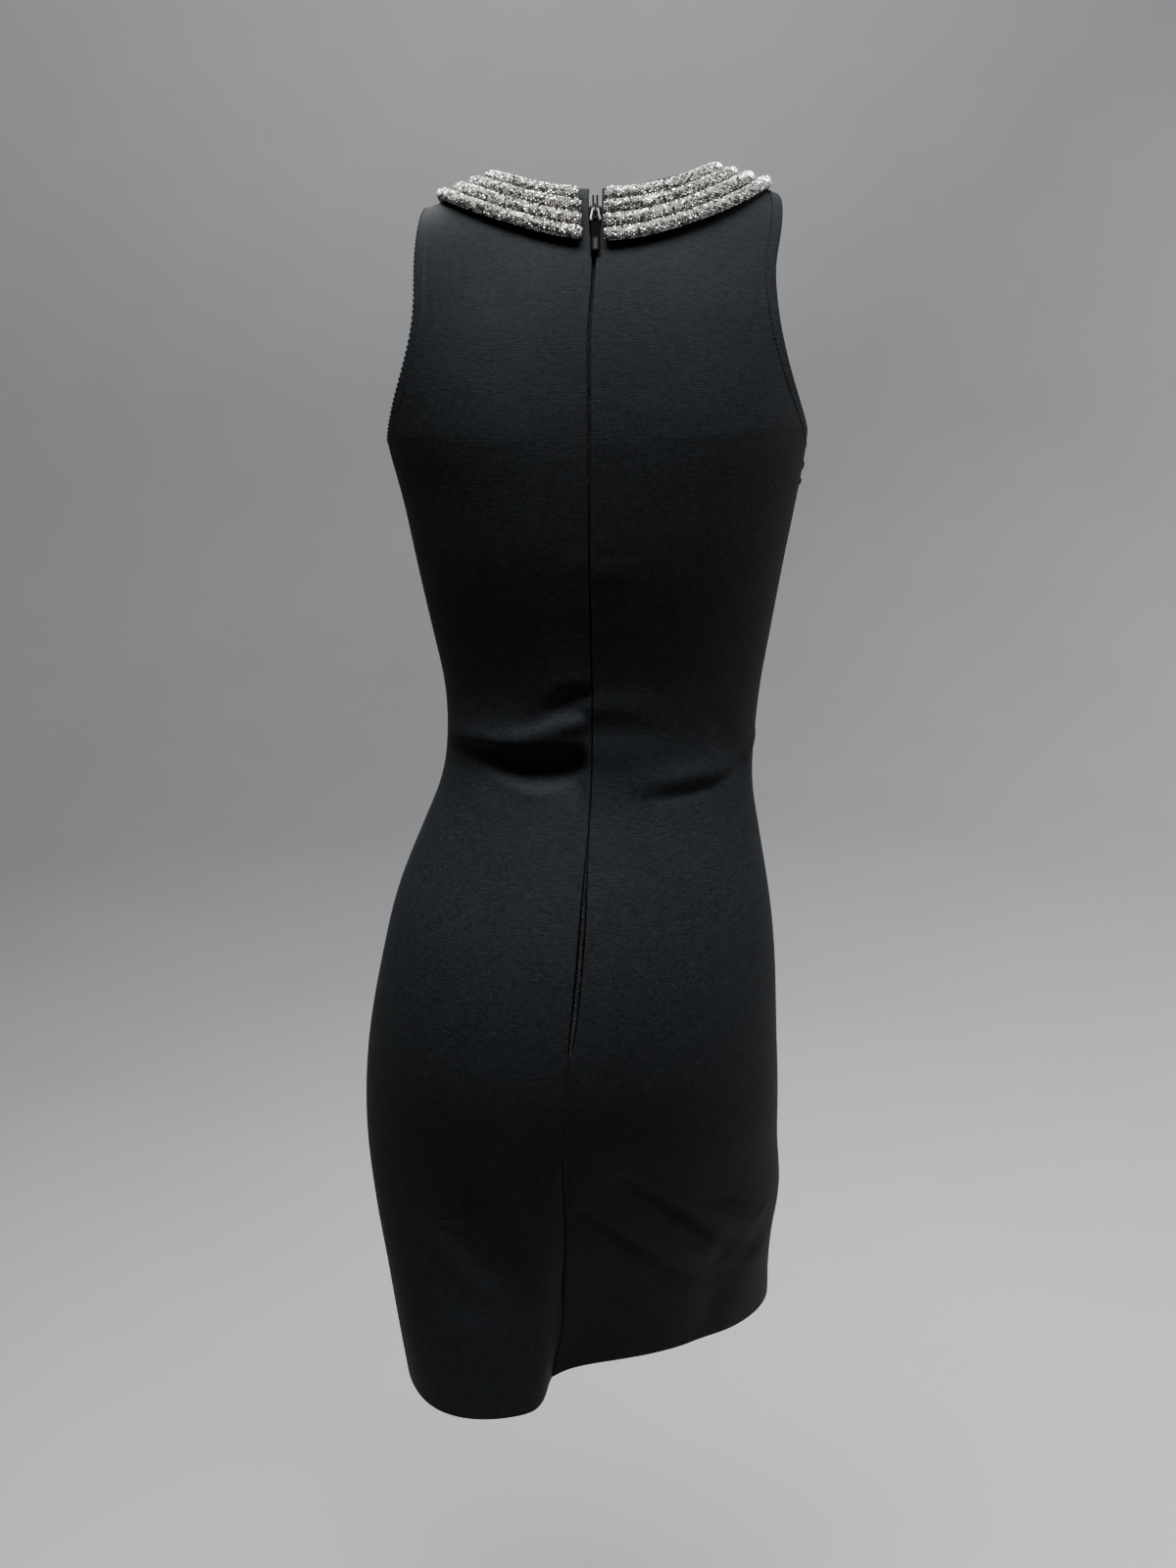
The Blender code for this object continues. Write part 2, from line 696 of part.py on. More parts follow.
def add_coil_ends(slider, look):
    """The two ends of the coil, which stand up from the slider."""
    along = Matrix.Rotation(pi / 2, 3, "X")
    up = SLIDER_SIZE[1] / 2 + GAP + END_LENGTH / 2
    for name, side in (("coil_end_left", -1), ("coil_end_right", 1)):
        end = rod(name, END_RADIUS, END_LENGTH, along, (side * END_APART, up, 0), sides=10)
        add_object(name, end, look, slider)


# ---- build ----

for old in list(bpy.data.objects):
    bpy.data.objects.remove(old, do_unlink=True)
dress = bpy.data.collections.new("bodycon_dress")
cutters = bpy.data.collections.new("cutters")
bpy.context.scene.collection.children.link(dress)
bpy.context.scene.collection.children.link(cutters)

knit = material("black_knit", (0.012, 0.013, 0.015), 0.72)
stones = material("rhinestone_cord", (0.50, 0.49, 0.47), 0.30, 0.75)
tape = material("zip_tape", (0.010, 0.010, 0.012), 0.65)
coil = material("black_coil", (0.012, 0.012, 0.014), 0.38)
lacquer = material("black_lacquer", (0.015, 0.015, 0.018), 0.30)
steel = material("grey_steel", (0.42, 0.41, 0.40), 0.32, 1.0)
rubber = material("black_rubber", (0.012, 0.012, 0.013), 0.50)

left_back = panel_places(1, "back", BACK_COLUMNS, BACK_CROWDING)
right_back = panel_places(-1, "back", BACK_COLUMNS, BACK_CROWDING)
sheet("back_left", left_back, 0, WALL, knit)
sheet("back_right", reversed_rows(right_back), 0, WALL, knit)
left_front = panel_places(1, "front", FRONT_COLUMNS)
right_front = panel_places(-1, "front", FRONT_COLUMNS)
whole_front = [left[::-1] + right[1:] for left, right in zip(left_front, right_front)]
sheet("front", whole_front, 0, WALL, knit)

for spec in CORDS:
    cord(spec.name, cord_line(spec), CORD_RADIUS, stones)

left_rows = [row[:TAPE_COLUMNS] for row in zip_rows(left_back, TAPE_BOTTOM, TAPE_TOP)]
right_rows = [row[:TAPE_COLUMNS] for row in zip_rows(right_back, TAPE_BOTTOM, TAPE_TOP)]
sheet("zip_tape_left", left_rows, TAPE_DEPTH, TAPE_WALL, tape)
sheet("zip_tape_right", reversed_rows(right_rows), TAPE_DEPTH, TAPE_WALL, tape)
sheet("zip_coil", coil_places(left_back), COIL_DEPTH, COIL_WALL, coil)

stop_block = box("zip_stop", STOP_SIZE, (0, 0, -COIL_DEPTH - STOP_SIZE[2] / 2))
stop = add_object("zip_stop", stop_block, steel)
stand_on_zip(stop, STOP_HEIGHT)
round_edges(stop, STOP_EDGE)
slider = add_slider(lacquer)
add_coil_ends(slider, lacquer)
hinge = add_hinge(slider)
add_ring(hinge, steel)
add_tab(hinge, rubber)
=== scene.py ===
from collections import namedtuple
from itertools import groupby
from math import atan2, cos, pi, radians, sin

import bmesh
import bpy
import numpy as np
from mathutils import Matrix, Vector
from mathutils.bvhtree import BVHTree
from mathutils.kdtree import KDTree


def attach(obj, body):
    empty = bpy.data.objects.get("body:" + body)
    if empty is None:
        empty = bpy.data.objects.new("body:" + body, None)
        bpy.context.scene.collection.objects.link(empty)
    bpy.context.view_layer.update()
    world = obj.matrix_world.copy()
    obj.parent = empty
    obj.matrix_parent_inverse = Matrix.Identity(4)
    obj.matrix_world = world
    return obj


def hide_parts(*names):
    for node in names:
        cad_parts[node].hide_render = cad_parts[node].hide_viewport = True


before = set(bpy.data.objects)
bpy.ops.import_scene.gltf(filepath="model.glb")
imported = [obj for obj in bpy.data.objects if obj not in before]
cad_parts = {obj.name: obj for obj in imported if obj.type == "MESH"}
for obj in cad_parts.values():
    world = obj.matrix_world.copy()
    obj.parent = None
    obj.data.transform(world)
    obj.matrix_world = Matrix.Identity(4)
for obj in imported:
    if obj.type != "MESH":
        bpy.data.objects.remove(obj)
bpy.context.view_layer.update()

# ---- The view ----
# From behind the wearer, a little less than a metre away and just below the shoulders, tilted
# down towards the skirt.

EYE_PLACE = (0.0045, 0.90, -0.144)
EYE_TILT = radians(74.6)   # from straight down
EYE_LENS = 29.25
EYE_SENSOR = 36

eye = bpy.data.cameras.new("eye")
eye.lens = EYE_LENS
eye.sensor_width = EYE_SENSOR
camera = bpy.data.objects.new("eye", eye)
camera.location = EYE_PLACE
camera.rotation_euler = (EYE_TILT, 0, pi)
bpy.context.scene.collection.objects.link(camera)
bpy.context.scene.camera = camera

# ---- The floor and the light ----
# A pale round floor that turns up into a wall all the way around. One soft light hangs overhead,
# a weak one stands to the right, one lights the front, and four are turned to the wall.

MIX_SHARE, MIX_DARK, MIX_LIGHT = 0, 6, 7  # a Mix node's sockets for colours
MIX_RESULT = 2


class Wire:
    """A shader socket that takes part in plain sums. Each sum adds its own node."""

    def __init__(self, look, socket):
        self.look = look
        self.socket = socket

    def __add__(self, other):
        return self.look.math("ADD", self, other)

    def __sub__(self, other):
        return self.look.math("SUBTRACT", self, other)

    def __rsub__(self, other):
        return self.look.math("SUBTRACT", other, self)

    def __mul__(self, other):
        return self.look.math("MULTIPLY", self, other)

    __radd__ = __add__
    __rmul__ = __mul__

    def sine(self):
        return self.look.math("SINE", self, 0)


class Look:
    """A material and the nodes that feed its one shader."""

    def __init__(self, name, fixed):
        self.material = bpy.data.materials.new(name)
        self.material.use_nodes = True
        self.tree = self.material.node_tree
        self.shader = self.tree.nodes["Principled BSDF"]
        for socket, value in fixed.items():
            self.feed(socket, value)

    def plug(self, socket, value):
        if isinstance(value, Wire):
            self.tree.links.new(value.socket, socket)
        else:
            socket.default_value = value

    def feed(self, socket, value):
        """Gives one of the shader's sockets a number, a colour or a wire."""
        self.plug(self.shader.inputs[socket], value)

    def node(self, kind, settings, sockets, output=0):
        """Any node: its type, its settings, what goes into its sockets and which one comes out."""
        made = self.tree.nodes.new("ShaderNode" + kind)
        for name, value in settings.items():
            setattr(made, name, value)
        for name, value in sockets.items():
            self.plug(made.inputs[name], value)
        return Wire(self, made.outputs[output])

    def math(self, operation, first, second):
        return self.node("Math", {"operation": operation}, {0: first, 1: second})

    def colour(self, share, dark, light):
        """Makes the shader's colour a mix of two colours."""
        sockets = {MIX_SHARE: share, MIX_DARK: (*dark, 1), MIX_LIGHT: (*light, 1)}
        self.feed("Base Color", self.node("Mix", {"data_type": "RGBA"}, sockets, MIX_RESULT))

    def number(self, name):
        """A number that the mesh gives each of its points."""
        return self.node("Attribute", {"attribute_name": name}, {}, "Fac")

    def noise(self, scale, detail=2.0, squeeze=(1, 1, 1)):
        """Mottling between 0 and 1 that stays with the piece."""
        place = self.node("TexCoord", {}, {}, "Object")
        place = self.node("VectorMath", {"operation": "MULTIPLY"}, {0: place, 1: squeeze})
        return self.node("TexNoise", {}, {"Vector": place, "Scale": scale, "Detail": detail})

    def raised(self, height, distance, under=None):
        """A normal for the shader from a height between 0 and 1, and how tall 1 is."""
        sockets = {"Height": height, "Distance": distance, "Strength": 1.0}
        if under is not None:
            sockets["Normal"] = under
        return self.node("Bump", {}, sockets)


def new_piece(name, mesh, look):
    """A piece of its own, with its place in its mesh."""
    mesh.materials.append(look.material)
    piece = bpy.data.objects.new(name, mesh)
    bpy.context.scene.collection.objects.link(piece)
    return piece


def pick(piece):
    """Selects one piece and nothing else."""
    bpy.ops.object.select_all(action="DESELECT")
    bpy.context.view_layer.objects.active = piece
    piece.select_set(True)


def settle(piece):
    """Applies a piece's modifiers."""
    pick(piece)
    for step in list(piece.modifiers):
        bpy.ops.object.modifier_apply(modifier=step.name)


FLOOR = -1.47
FLOOR_RINGS = (0, 1.2, 2.4)
FLOOR_RADIUS = 3.4
COVE = 1.4
COVE_STEPS = 8
WALL_TOP = 4.6
FLOOR_SIDES = 96

floor_look = Look("pale_floor", {"Roughness": 0.9})
floor_look.colour(floor_look.noise(3.0), (0.235, 0.24, 0.25), (0.265, 0.265, 0.27))

profile = [(out, FLOOR) for out in FLOOR_RINGS]
for step in range(COVE_STEPS + 1):
    turn = step * pi / 2 / COVE_STEPS
    profile.append((FLOOR_RADIUS + COVE * sin(turn), FLOOR + COVE * (1 - cos(turn))))
profile.append((FLOOR_RADIUS + COVE, WALL_TOP))
outline = bpy.data.meshes.new("floor")
outline.from_pydata(
    [(0, -out, up) for out, up in profile],
    [(step, step + 1) for step in range(len(profile) - 1)],
    [],
)
floor = new_piece("floor", outline, floor_look)
around = floor.modifiers.new("All the way around", "SCREW")
around.steps = around.render_steps = FLOOR_SIDES
around.use_merge_vertices = True
around.use_smooth_shade = True
settle(floor)

world = bpy.data.worlds.new("studio")
world.use_nodes = True
background = world.node_tree.nodes["Background"].inputs
background["Color"].default_value = (0.84, 0.86, 0.90, 1)
background["Strength"].default_value = 0.012
bpy.context.scene.world = world

Lamp = namedtuple("Lamp", "name place aim size watts spread")
for lamp in (
    Lamp("overhead", (0.12, 0.76, 1.85), (0.02, 0.02, -0.45), (2.0, 0.7), 52, 80),
    Lamp("right", (-2.0, -0.5, 1.4), (0, 0, -0.4), (0.9, 1.2), 6, 100),
    Lamp("front", (0.35, -1.15, 1.45), (0, -0.05, -0.45), (1.4, 0.7), 16, 90),
    Lamp("wall_behind", (0, -1.6, 2.8), (0, -4.6, -0.2), (1.6, 1.6), 130, 150),
    Lamp("wall_left", (1.9, 0, 2.8), (4.6, 0, 0.0), (1.6, 1.6), 30, 150),
    Lamp("wall_right", (-1.9, 0, 2.8), (-4.6, 0, 0.0), (1.6, 1.6), 420, 150),
    Lamp("wall_ahead", (0, 2.2, 2.8), (0, 4.6, 0.2), (1.6, 1.6), 6, 150),
):
    light = bpy.data.lights.new(lamp.name, "AREA")
    light.shape = "RECTANGLE"
    light.size, light.size_y = lamp.size
    light.energy = lamp.watts
    light.spread = radians(lamp.spread)
    holder = bpy.data.objects.new(lamp.name, light)
    holder.location = lamp.place
    way = Vector(lamp.aim) - Vector(lamp.place)
    holder.rotation_euler = way.to_track_quat("-Z", "Y").to_euler()
    bpy.context.scene.collection.objects.link(holder)

# ---- The dress: two backs and a front ----
# Doubled elastic knit in fine level ribs, seamed at the sides, the shoulders and the centre back.
# It is worn tight, so it creases at the waist, and slants in folds from the seat to the hem.

MM = 0.001
WALL = 2.0 * MM
EDGE_ROUNDING = 0.7 * MM
EDGE_SEGMENTS = 2
RIM_ANGLE = radians(50)    # sharper edges than this are the wall's own
CORNER_ANGLE = radians(140)
WELD = 0.01 * MM           # points closer than this are one point
TURNED = 8 * MM            # width of the turned edge around the armholes
TURNED_END = 0.6 * MM      # half the slope in which the turned edge ends
FAR = 30 * MM              # distances from an armhole's edge are told up to here
ARMHOLE_SIDE = 98 * MM     # the armholes' edges are further out and higher than this
ARMHOLE_LOW = -152 * MM

RIB = 1.45 * MM
YOKE_HEIGHT = -60 * MM     # above it the cloth leans in, and ribs are set closer in height
YOKE_PACE = 1.35
SLACK_WANDER = 1.6 * MM    # how far the ribs wander where the knit is slack
FLECK_WANDER = 0.7 * MM
KNIT_RELIEF = 0.17 * MM
TURNED_HEIGHT = 0.55 * MM
SMOOTHNESS = 2             # rounds in which the cloth's quads are divided

BUST_HEIGHT = -146 * MM
BUST_SPREAD = 34 * MM
BUST_ROUNDING = 24         # rounds of smoothing

SEAM_CLEAR = (1.5 * MM, 8 * MM)  # folds fade between these distances from the centre back
SEAM_DIP = 1.0 * MM        # the cloth rolls in at the centre-back seam
SEAM_SOFT = 2.6 * MM

# The backs' edges below the zip: where they begin to be drawn together, where they have met, and
# how far down they are looked at. Then the gap's place across, how far to each side its edges
# are looked for, and how far around them the cloth is drawn along.
SEWN_START = -547 * MM
SEWN_SHUT = -551.5 * MM
SEWN_LOW = -625 * MM
SEWN_X = 18 * MM
SEWN_WIDTH = 14 * MM
SEWN_REACH = 16 * MM
OPPOSITE = {"back_left": "back_right", "back_right": "back_left"}

# Flat sizes of each panel's cut, in metres, as it lies before it is stretched over the wearer.
Cut = namedtuple("Cut", "width length area")
CUTS = {
    "back_left": Cut(0.215, 0.90, 0.150),
    "back_right": Cut(0.215, 0.90, 0.150),
    "front": Cut(0.42, 0.90, 0.30),
}

# The centre-back seam, across and up, in millimetres.
SEAM = [
    (0, 0), (0, -20), (2, -55), (4, -85), (4, -225), (3, -270), (2, -315), (2, -355), (3, -390),
    (6, -430), (9, -475), (15, -520), (18, -596), (20, -650), (22, -710), (25, -775), (33, -870),
]

# Folds: each a soft ridge, or a trough if its heights are negative, along a line that is given
# across and up. Width is how far it reaches to each side. The three heights are those at its
# first point, half way and at its last point. All are in millimetres.
BACK, FRONT = 1, -1
Fold = namedtuple("Fold", "name side width start middle end line")
FOLDS = [
    # the left waist: a bright crest over a deep pocket
    Fold("crest", BACK, 4.0, 1.4, 2.4, 2.3, [
        (103, -350), (79, -346), (61, -346), (44, -341), (26, -336), (10, -332),
    ]),
    Fold("crest edge", BACK, 2.6, 0.7, 1.2, 0.9, [
        (103, -351), (79, -348), (58, -348), (38, -346), (21, -345), (8, -346),
    ]),
    Fold("pocket", BACK, 7.5, -1.6, -5.0, -5.0, [
        (103, -355), (80, -359), (58, -364), (35, -366), (14, -363),
    ]),
    Fold("pocket lip", BACK, 4.5, 0.6, 1.6, 1.2, [
        (92, -364), (70, -374), (45, -382), (25, -380), (10, -372),
    ]),
    Fold("upper wedge", BACK, 4.5, -3.0, -2.2, -1.0, [
        (7, -312), (18, -316), (31, -327), (48, -338),
    ]),
    Fold("upper crest", BACK, 4.0, 1.6, 1.1, 0.5, [(6, -304), (18, -303), (28, -308)]),
    Fold("tuck at the zip's end", BACK, 1.6, 2.0, 1.2, 0.3, [(19, -550), (24, -550), (30, -551)]),
    # small creases beside the zip
    Fold("left nick", BACK, 2.2, 1.7, 1.3, 0.4, [(5, -226), (16, -227), (26, -229)]),
    Fold("left nick, lower", BACK, 2.2, 1.5, 1.0, 0.3, [(5, -240), (17, -242)]),
    Fold("left nick, lowest", BACK, 2.4, 1.4, 1.0, 0.3, [(5, -254), (17, -255), (29, -258)]),
    Fold("right nick", BACK, 2.4, 1.5, 1.2, 0.4, [(0, -231), (-14, -230), (-29, -231)]),
    Fold("right nick, upper", BACK, 2.0, 1.0, 0.8, 0.3, [(0, -214), (-9, -212)]),
    Fold("right patch", BACK, 7.0, 2.0, 1.8, 0.5, [(-1, -321), (-22, -322), (-40, -327)]),
    Fold("right patch, lower", BACK, 8.0, 1.3, 1.3, 0.4, [(-2, -354), (-28, -352), (-50, -358)]),
    Fold("right patch's shade", BACK, 7.0, -0.5, -0.4, -0.1, [
        (-2, -338), (-22, -339), (-40, -343),
    ]),
    # the right waist
    Fold("right crest", BACK, 5.0, 0.6, 1.8, 1.6, [
        (-30, -374), (-50, -373), (-71, -371), (-88, -372),
    ]),
    Fold("right crease", BACK, 3.2, -0.5, -2.8, -2.2, [
        (-36, -386), (-56, -384), (-80, -380), (-95, -375), (-105, -369),
    ]),
    Fold("right rim", BACK, 2.6, 1.0, 1.6, 1.0, [
        (-96, -373), (-105, -370), (-112, -364), (-116, -354),
    ]),
    Fold("right hollow", BACK, 8.0, -0.8, -2.2, -1.6, [(-84, -338), (-93, -354), (-100, -362)]),
    # the right thigh, which strides forward: folds slant down from the seat
    Fold("thigh crease", BACK, 5.0, -2.2, -6.0, -1.8, [
        (-21, -659), (-31, -672), (-46, -687), (-61, -705), (-80, -728), (-102, -752), (-127, -781),
    ]),
    Fold("thigh crest", BACK, 7.0, 0.8, 3.0, 1.0, [
        (-24, -682), (-46, -708), (-70, -735), (-94, -762),
    ]),
    Fold("second crease", BACK, 4.5, -1.8, -4.2, -1.5, [
        (12, -689), (-3, -704), (-17, -719), (-32, -735), (-52, -756), (-72, -780),
    ]),
    Fold("second crest", BACK, 7.0, 0.8, 2.0, 0.8, [(6, -706), (-14, -728), (-40, -758)]),
    Fold("third crease", BACK, 6.0, -1.0, -2.1, -0.8, [
        (13, -743), (1, -759), (-14, -780), (-34, -803), (-54, -827),
    ]),
    Fold("side nick", BACK, 3.2, -1.0, -2.6, -1.2, [(-84, -689), (-103, -704), (-129, -727)]),
    Fold("side nick's crest", BACK, 3.6, 0.6, 1.8, 1.0, [(-86, -698), (-106, -713), (-130, -736)]),
    Fold("right hem hollow", BACK, 14, -3.0, -4.2, -3.0, [
        (-103, -775), (-100, -811), (-93, -843),
    ]),
    Fold("under the right seat", BACK, 14, -1.3, -2.3, -1.3, [
        (-9, -619), (-27, -638), (-41, -655),
    ]),
    # the left thigh: one broad soft hollow with a slanting lower edge
    Fold("left hollow", BACK, 15, -1.6, -3.6, -2.9, [
        (110, -640), (98, -678), (86, -715), (78, -742),
    ]),
    Fold("left hollow's edge", BACK, 5.0, 0.7, 1.8, 1.3, [
        (148, -702), (128, -711), (108, -731), (88, -752), (76, -763),
    ]),
    Fold("left band", BACK, 6.0, -0.6, -1.4, -0.6, [(129, -754), (110, -762), (89, -781)]),
    # the front, under the bust, at the waist and over the thighs
    Fold("bust fold, left", FRONT, 6.0, -0.5, -1.6, -0.6, [(70, -236), (52, -250), (30, -258)]),
    Fold("bust fold, right", FRONT, 6.0, -0.5, -1.4, -0.5, [
        (-78, -238), (-60, -252), (-40, -262),
    ]),
    Fold("front waist crease", FRONT, 4.5, -0.8, -2.0, -0.5, [
        (98, -356), (74, -362), (48, -362), (22, -356),
    ]),
    Fold("front waist crest", FRONT, 4.5, 0.5, 1.5, 0.4, [
        (96, -347), (72, -351), (46, -351), (24, -347),
    ]),
    Fold("front waist crease, right", FRONT, 5.0, -0.8, -1.8, -0.4, [
        (-104, -366), (-82, -372), (-56, -376), (-30, -370),
    ]),
    Fold("front waist crest, right", FRONT, 5.0, 0.5, 1.3, 0.3, [
        (-102, -356), (-80, -361), (-54, -364), (-32, -360),
    ]),
    Fold("lap fold, left", FRONT, 6.0, -0.6, -1.6, -0.6, [
        (112, -560), (84, -572), (52, -578), (24, -572),
    ]),
    Fold("lap fold, right", FRONT, 6.0, -0.6, -1.8, -0.6, [
        (-116, -552), (-88, -568), (-58, -580), (-26, -582),
    ]),
    Fold("stride fold", FRONT, 7.0, -0.6, -2.0, -0.8, [
        (18, -640), (-8, -676), (-38, -716), (-66, -752),
    ]),
    Fold("stride crest", FRONT, 8.0, 0.4, 1.4, 0.6, [(6, -648), (-20, -686), (-50, -726)]),
    Fold("stride fold, lower", FRONT, 7.0, -0.5, -1.4, -0.5, [
        (40, -710), (14, -744), (-14, -780), (-40, -812),
    ]),
]


def merged(node):
    """A CAD node's mesh with its loose triangles joined up."""
    shape = bmesh.new()
    shape.from_mesh(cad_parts[node].data)
    bmesh.ops.remove_doubles(shape, verts=shape.verts, dist=WELD)
    return shape


def as_mesh(shape, name):
    mesh = bpy.data.meshes.new(name)
    shape.to_mesh(mesh)
    shape.free()
    return mesh


def smooth_patches(shape):
    """The faces in groups that no edge of the wall divides."""
    unseen = set(shape.faces)
    patches = []
    while unseen:
        patch = [unseen.pop()]
        for face in patch:
            for edge in face.edges:
                if len(edge.link_faces) == 2 and edge.calc_face_angle() < RIM_ANGLE:
                    fresh = [other for other in edge.link_faces if other in unseen]
                    unseen.difference_update(fresh)
                    patch.extend(fresh)
        patches.append(patch)
    return patches


def outer_face(node):
    """The outer face of a panel's wall, in quads. It is the larger of the wall's two faces."""
    shape = merged(node)
    outer = max(smooth_patches(shape), key=lambda patch: sum(face.calc_area() for face in patch))
    rest = list(set(shape.faces) - set(outer))
    bmesh.ops.delete(shape, geom=rest, context="FACES")
    bmesh.ops.join_triangles(
        shape,
        faces=shape.faces,
        angle_face_threshold=RIM_ANGLE,
        angle_shape_threshold=pi,
    )
    crease = shape.verts.layers.float.new("crease_vert")
    for vert in shape.verts:
        ways = [edge.other_vert(vert).co - vert.co for edge in vert.link_edges if edge.is_boundary]
        if len(ways) == 2 and ways[0].angle(ways[1]) < CORNER_ANGLE:
            vert[crease] = 1
    return as_mesh(shape, node + "_cloth")


def read(mesh, what="co"):
    """The places or the normals of a mesh's points, one row each."""
    values = np.empty(3 * len(mesh.vertices))
    mesh.vertices.foreach_get(what, values)
    return values.reshape(-1, 3)


def place_points(mesh, places):
    mesh.vertices.foreach_set("co", places.ravel())
    mesh.update()


def tag(mesh, name, values):
    """Gives every point of a mesh a number that its material can read."""
    numbers = mesh.attributes.new(name, "FLOAT", "POINT").data
    numbers.foreach_set("value", np.ascontiguousarray(values))


def eased(values, start, end):
    """0 at start, 1 at end, with an easy slope between."""
    share = np.clip((values - start) / (end - start), 0, 1)
    return share * share * (3 - 2 * share)


def swell(away, width):
    """1 on a line, and less to each side of it."""
    return np.exp(-0.5 * (away / width) ** 2)


def unit(rows):
    return rows / np.linalg.norm(rows, axis=1)[:, None]


def through(corners, steps=6):
    """A smooth line through its corners."""
    corners = np.array(corners, float)
    padded = np.vstack([2 * corners[0] - corners[1], corners, 2 * corners[-1] - corners[-2]])
    line = []
    for before, start, end, after in zip(padded, padded[1:], padded[2:], padded[3:]):
        for share in np.arange(steps) / steps:
            line.append((
                2 * start
                + (end - before) * share
                + (2 * before - 5 * start + 4 * end - after) * share ** 2
                + (3 * start - before - 3 * end + after) * share ** 3
            ) / 2)
    return np.array(line + [corners[-1]])


def lengths(line):
    """How far along a line each of its points lies."""
    steps = np.linalg.norm(np.diff(line, axis=0), axis=1)
    return np.concatenate([[0], np.cumsum(steps)])


def read_off(rows, at, stops):
    """Rows that are known at some lengths along a line, read off at other lengths."""
    return np.column_stack([np.interp(stops, at, column) for column in rows.T])


def even(line, pace):
    """Points at an even pace along a line."""
    at = lengths(line)
    stops = np.linspace(0, at[-1], max(int(at[-1] / pace), 1) + 1)
    return read_off(line, at, stops)


def lay(line, side):
    """Lays a line that is given across and up onto the cloth, from behind or from the front."""
    laid = []
    for x, z in through(line) * MM:
        hit = body.ray_cast(Vector((x, side, z)), Vector((0, -side, 0)))[0]
        if hit is None:
            hit = body.find_nearest(Vector((x, 0, z)))[0]
        laid.append(hit)
    return np.array(laid)


def from_line(points, line):
    """For each point, its distance from a line, and how far along the line it lies."""
    nearest = np.full(len(points), np.inf)
    place = np.zeros(len(points))
    for step, (start, end) in enumerate(zip(line, line[1:])):
        run = end - start
        if not run.any():
            continue
        share = np.clip((points - start) @ run / (run @ run), 0, 1)
        away = np.linalg.norm(points - start - share[:, None] * run, axis=1)
        nearer = away < nearest
        nearest[nearer] = away[nearer]
        place[nearer] = step + share[nearer]
    return nearest, place / (len(line) - 1)


def fold_heights(points):
    """How far the folds raise the cloth at each point."""
    heights = np.zeros(len(points))
    for fold in FOLDS:
        away, place = from_line(points, lay(fold.line, fold.side))
        tall = np.interp(place, (0, 0.5, 1), (fold.start, fold.middle, fold.end)) * MM
        heights += tall * swell(away, fold.width * MM)
    from_seam = from_line(points, lay(SEAM, BACK))[0]
    return heights * eased(from_seam, *SEAM_CLEAR) - SEAM_DIP * swell(from_seam, SEAM_SOFT)


def open_edges(mesh, keep):
    """The points of a mesh's open edges for which keep is true, each with those next to it."""
    shape = bmesh.new()
    shape.from_mesh(mesh)
    beside = {}
    for edge in shape.edges:
        if edge.is_boundary and all(keep(vert.co) for vert in edge.verts):
            first, second = (vert.index for vert in edge.verts)
            beside.setdefault(first, []).append(second)
            beside.setdefault(second, []).append(first)
    shape.free()
    return beside


def edge_runs(mesh, keep=lambda place: True):
    """The points of a mesh's open edges for which keep is true, in runs."""
    beside = open_edges(mesh, keep)
    runs = []
    while beside:
        ends = [point for point, others in beside.items() if len(others) == 1]
        here = ends[0] if ends else next(iter(beside))
        run = [here]
        while beside.get(here):
            there = beside[here].pop()
            beside[there].remove(here)
            if not beside[here]:
                del beside[here]
            run.append(there)
            here = there
        beside.pop(here, None)
        runs.append(run)
    return runs


def points_of(runs):
    return sorted({point for run in runs for point in run})


def border_of(cloth):
    """The places along a cloth's open edges, in runs."""
    points = cloth.data.vertices
    return [[points[index].co.copy() for index in run] for run in edge_runs(cloth.data)]


def on_armhole(place):
    return abs(place.x) > ARMHOLE_SIDE and place.z > ARMHOLE_LOW


def below_zip(place):
    near = place.y > 0 and abs(place.x - SEWN_X) < SEWN_WIDTH
    return near and SEWN_START > place.z > SEWN_LOW


def distances(points, others):
    """How far each point is from each of the others, with a row for each point."""
    return np.linalg.norm(points[:, None, :] - others[None, :, :], axis=2)


def drawn_together(points, own, other):
    """How far each point of a back is drawn towards the other back's edge below the zip."""
    ways = (other[distances(own, other).argmin(axis=1)] - own) / 2
    away = distances(points, own)
    near = eased(away.min(axis=1), SEWN_REACH, 0)
    low = eased(points[:, 2], SEWN_START, SEWN_SHUT)
    return ways[away.argmin(axis=1)] * (near * low)[:, None]


def inside_of(line, outs, centre):
    """A row as far in from an armhole's edge as the turned edge is wide."""
    inward = np.cross(unit(np.gradient(line, axis=0)), outs)
    half = len(line) // 2
    middle = (line[half] + line[0] + line[-1]) / 3
    if inward[half] @ (centre - middle) < 0:
        inward = -inward
    return line + inward * TURNED


def course_height(height):
    """Heights that count the ribs, which are closer together above the yoke."""
    return np.where(height > YOKE_HEIGHT, YOKE_HEIGHT + (height - YOKE_HEIGHT) * YOKE_PACE, height)


def touchable(pieces):
    """The pieces' faces, to be searched for the closest point."""
    whole = bmesh.new()
    for piece in pieces:
        whole.from_mesh(piece.data)
    tree = BVHTree.FromBMesh(whole)
    whole.free()
    return tree


def soften(cloth):
    """Rounds the cloth where it turns over the bust."""
    share = cloth.vertex_groups.new(name="over the bust")
    rim = set(points_of(edge_runs(cloth.data)))
    for point in cloth.data.vertices:
        if point.index not in rim:
            share.add([point.index], swell(point.co.z - BUST_HEIGHT, BUST_SPREAD), "REPLACE")
    rounding = cloth.modifiers.new("Over the bust", "SMOOTH")
    rounding.iterations = BUST_ROUNDING
    rounding.vertex_group = share.name
    settle(cloth)


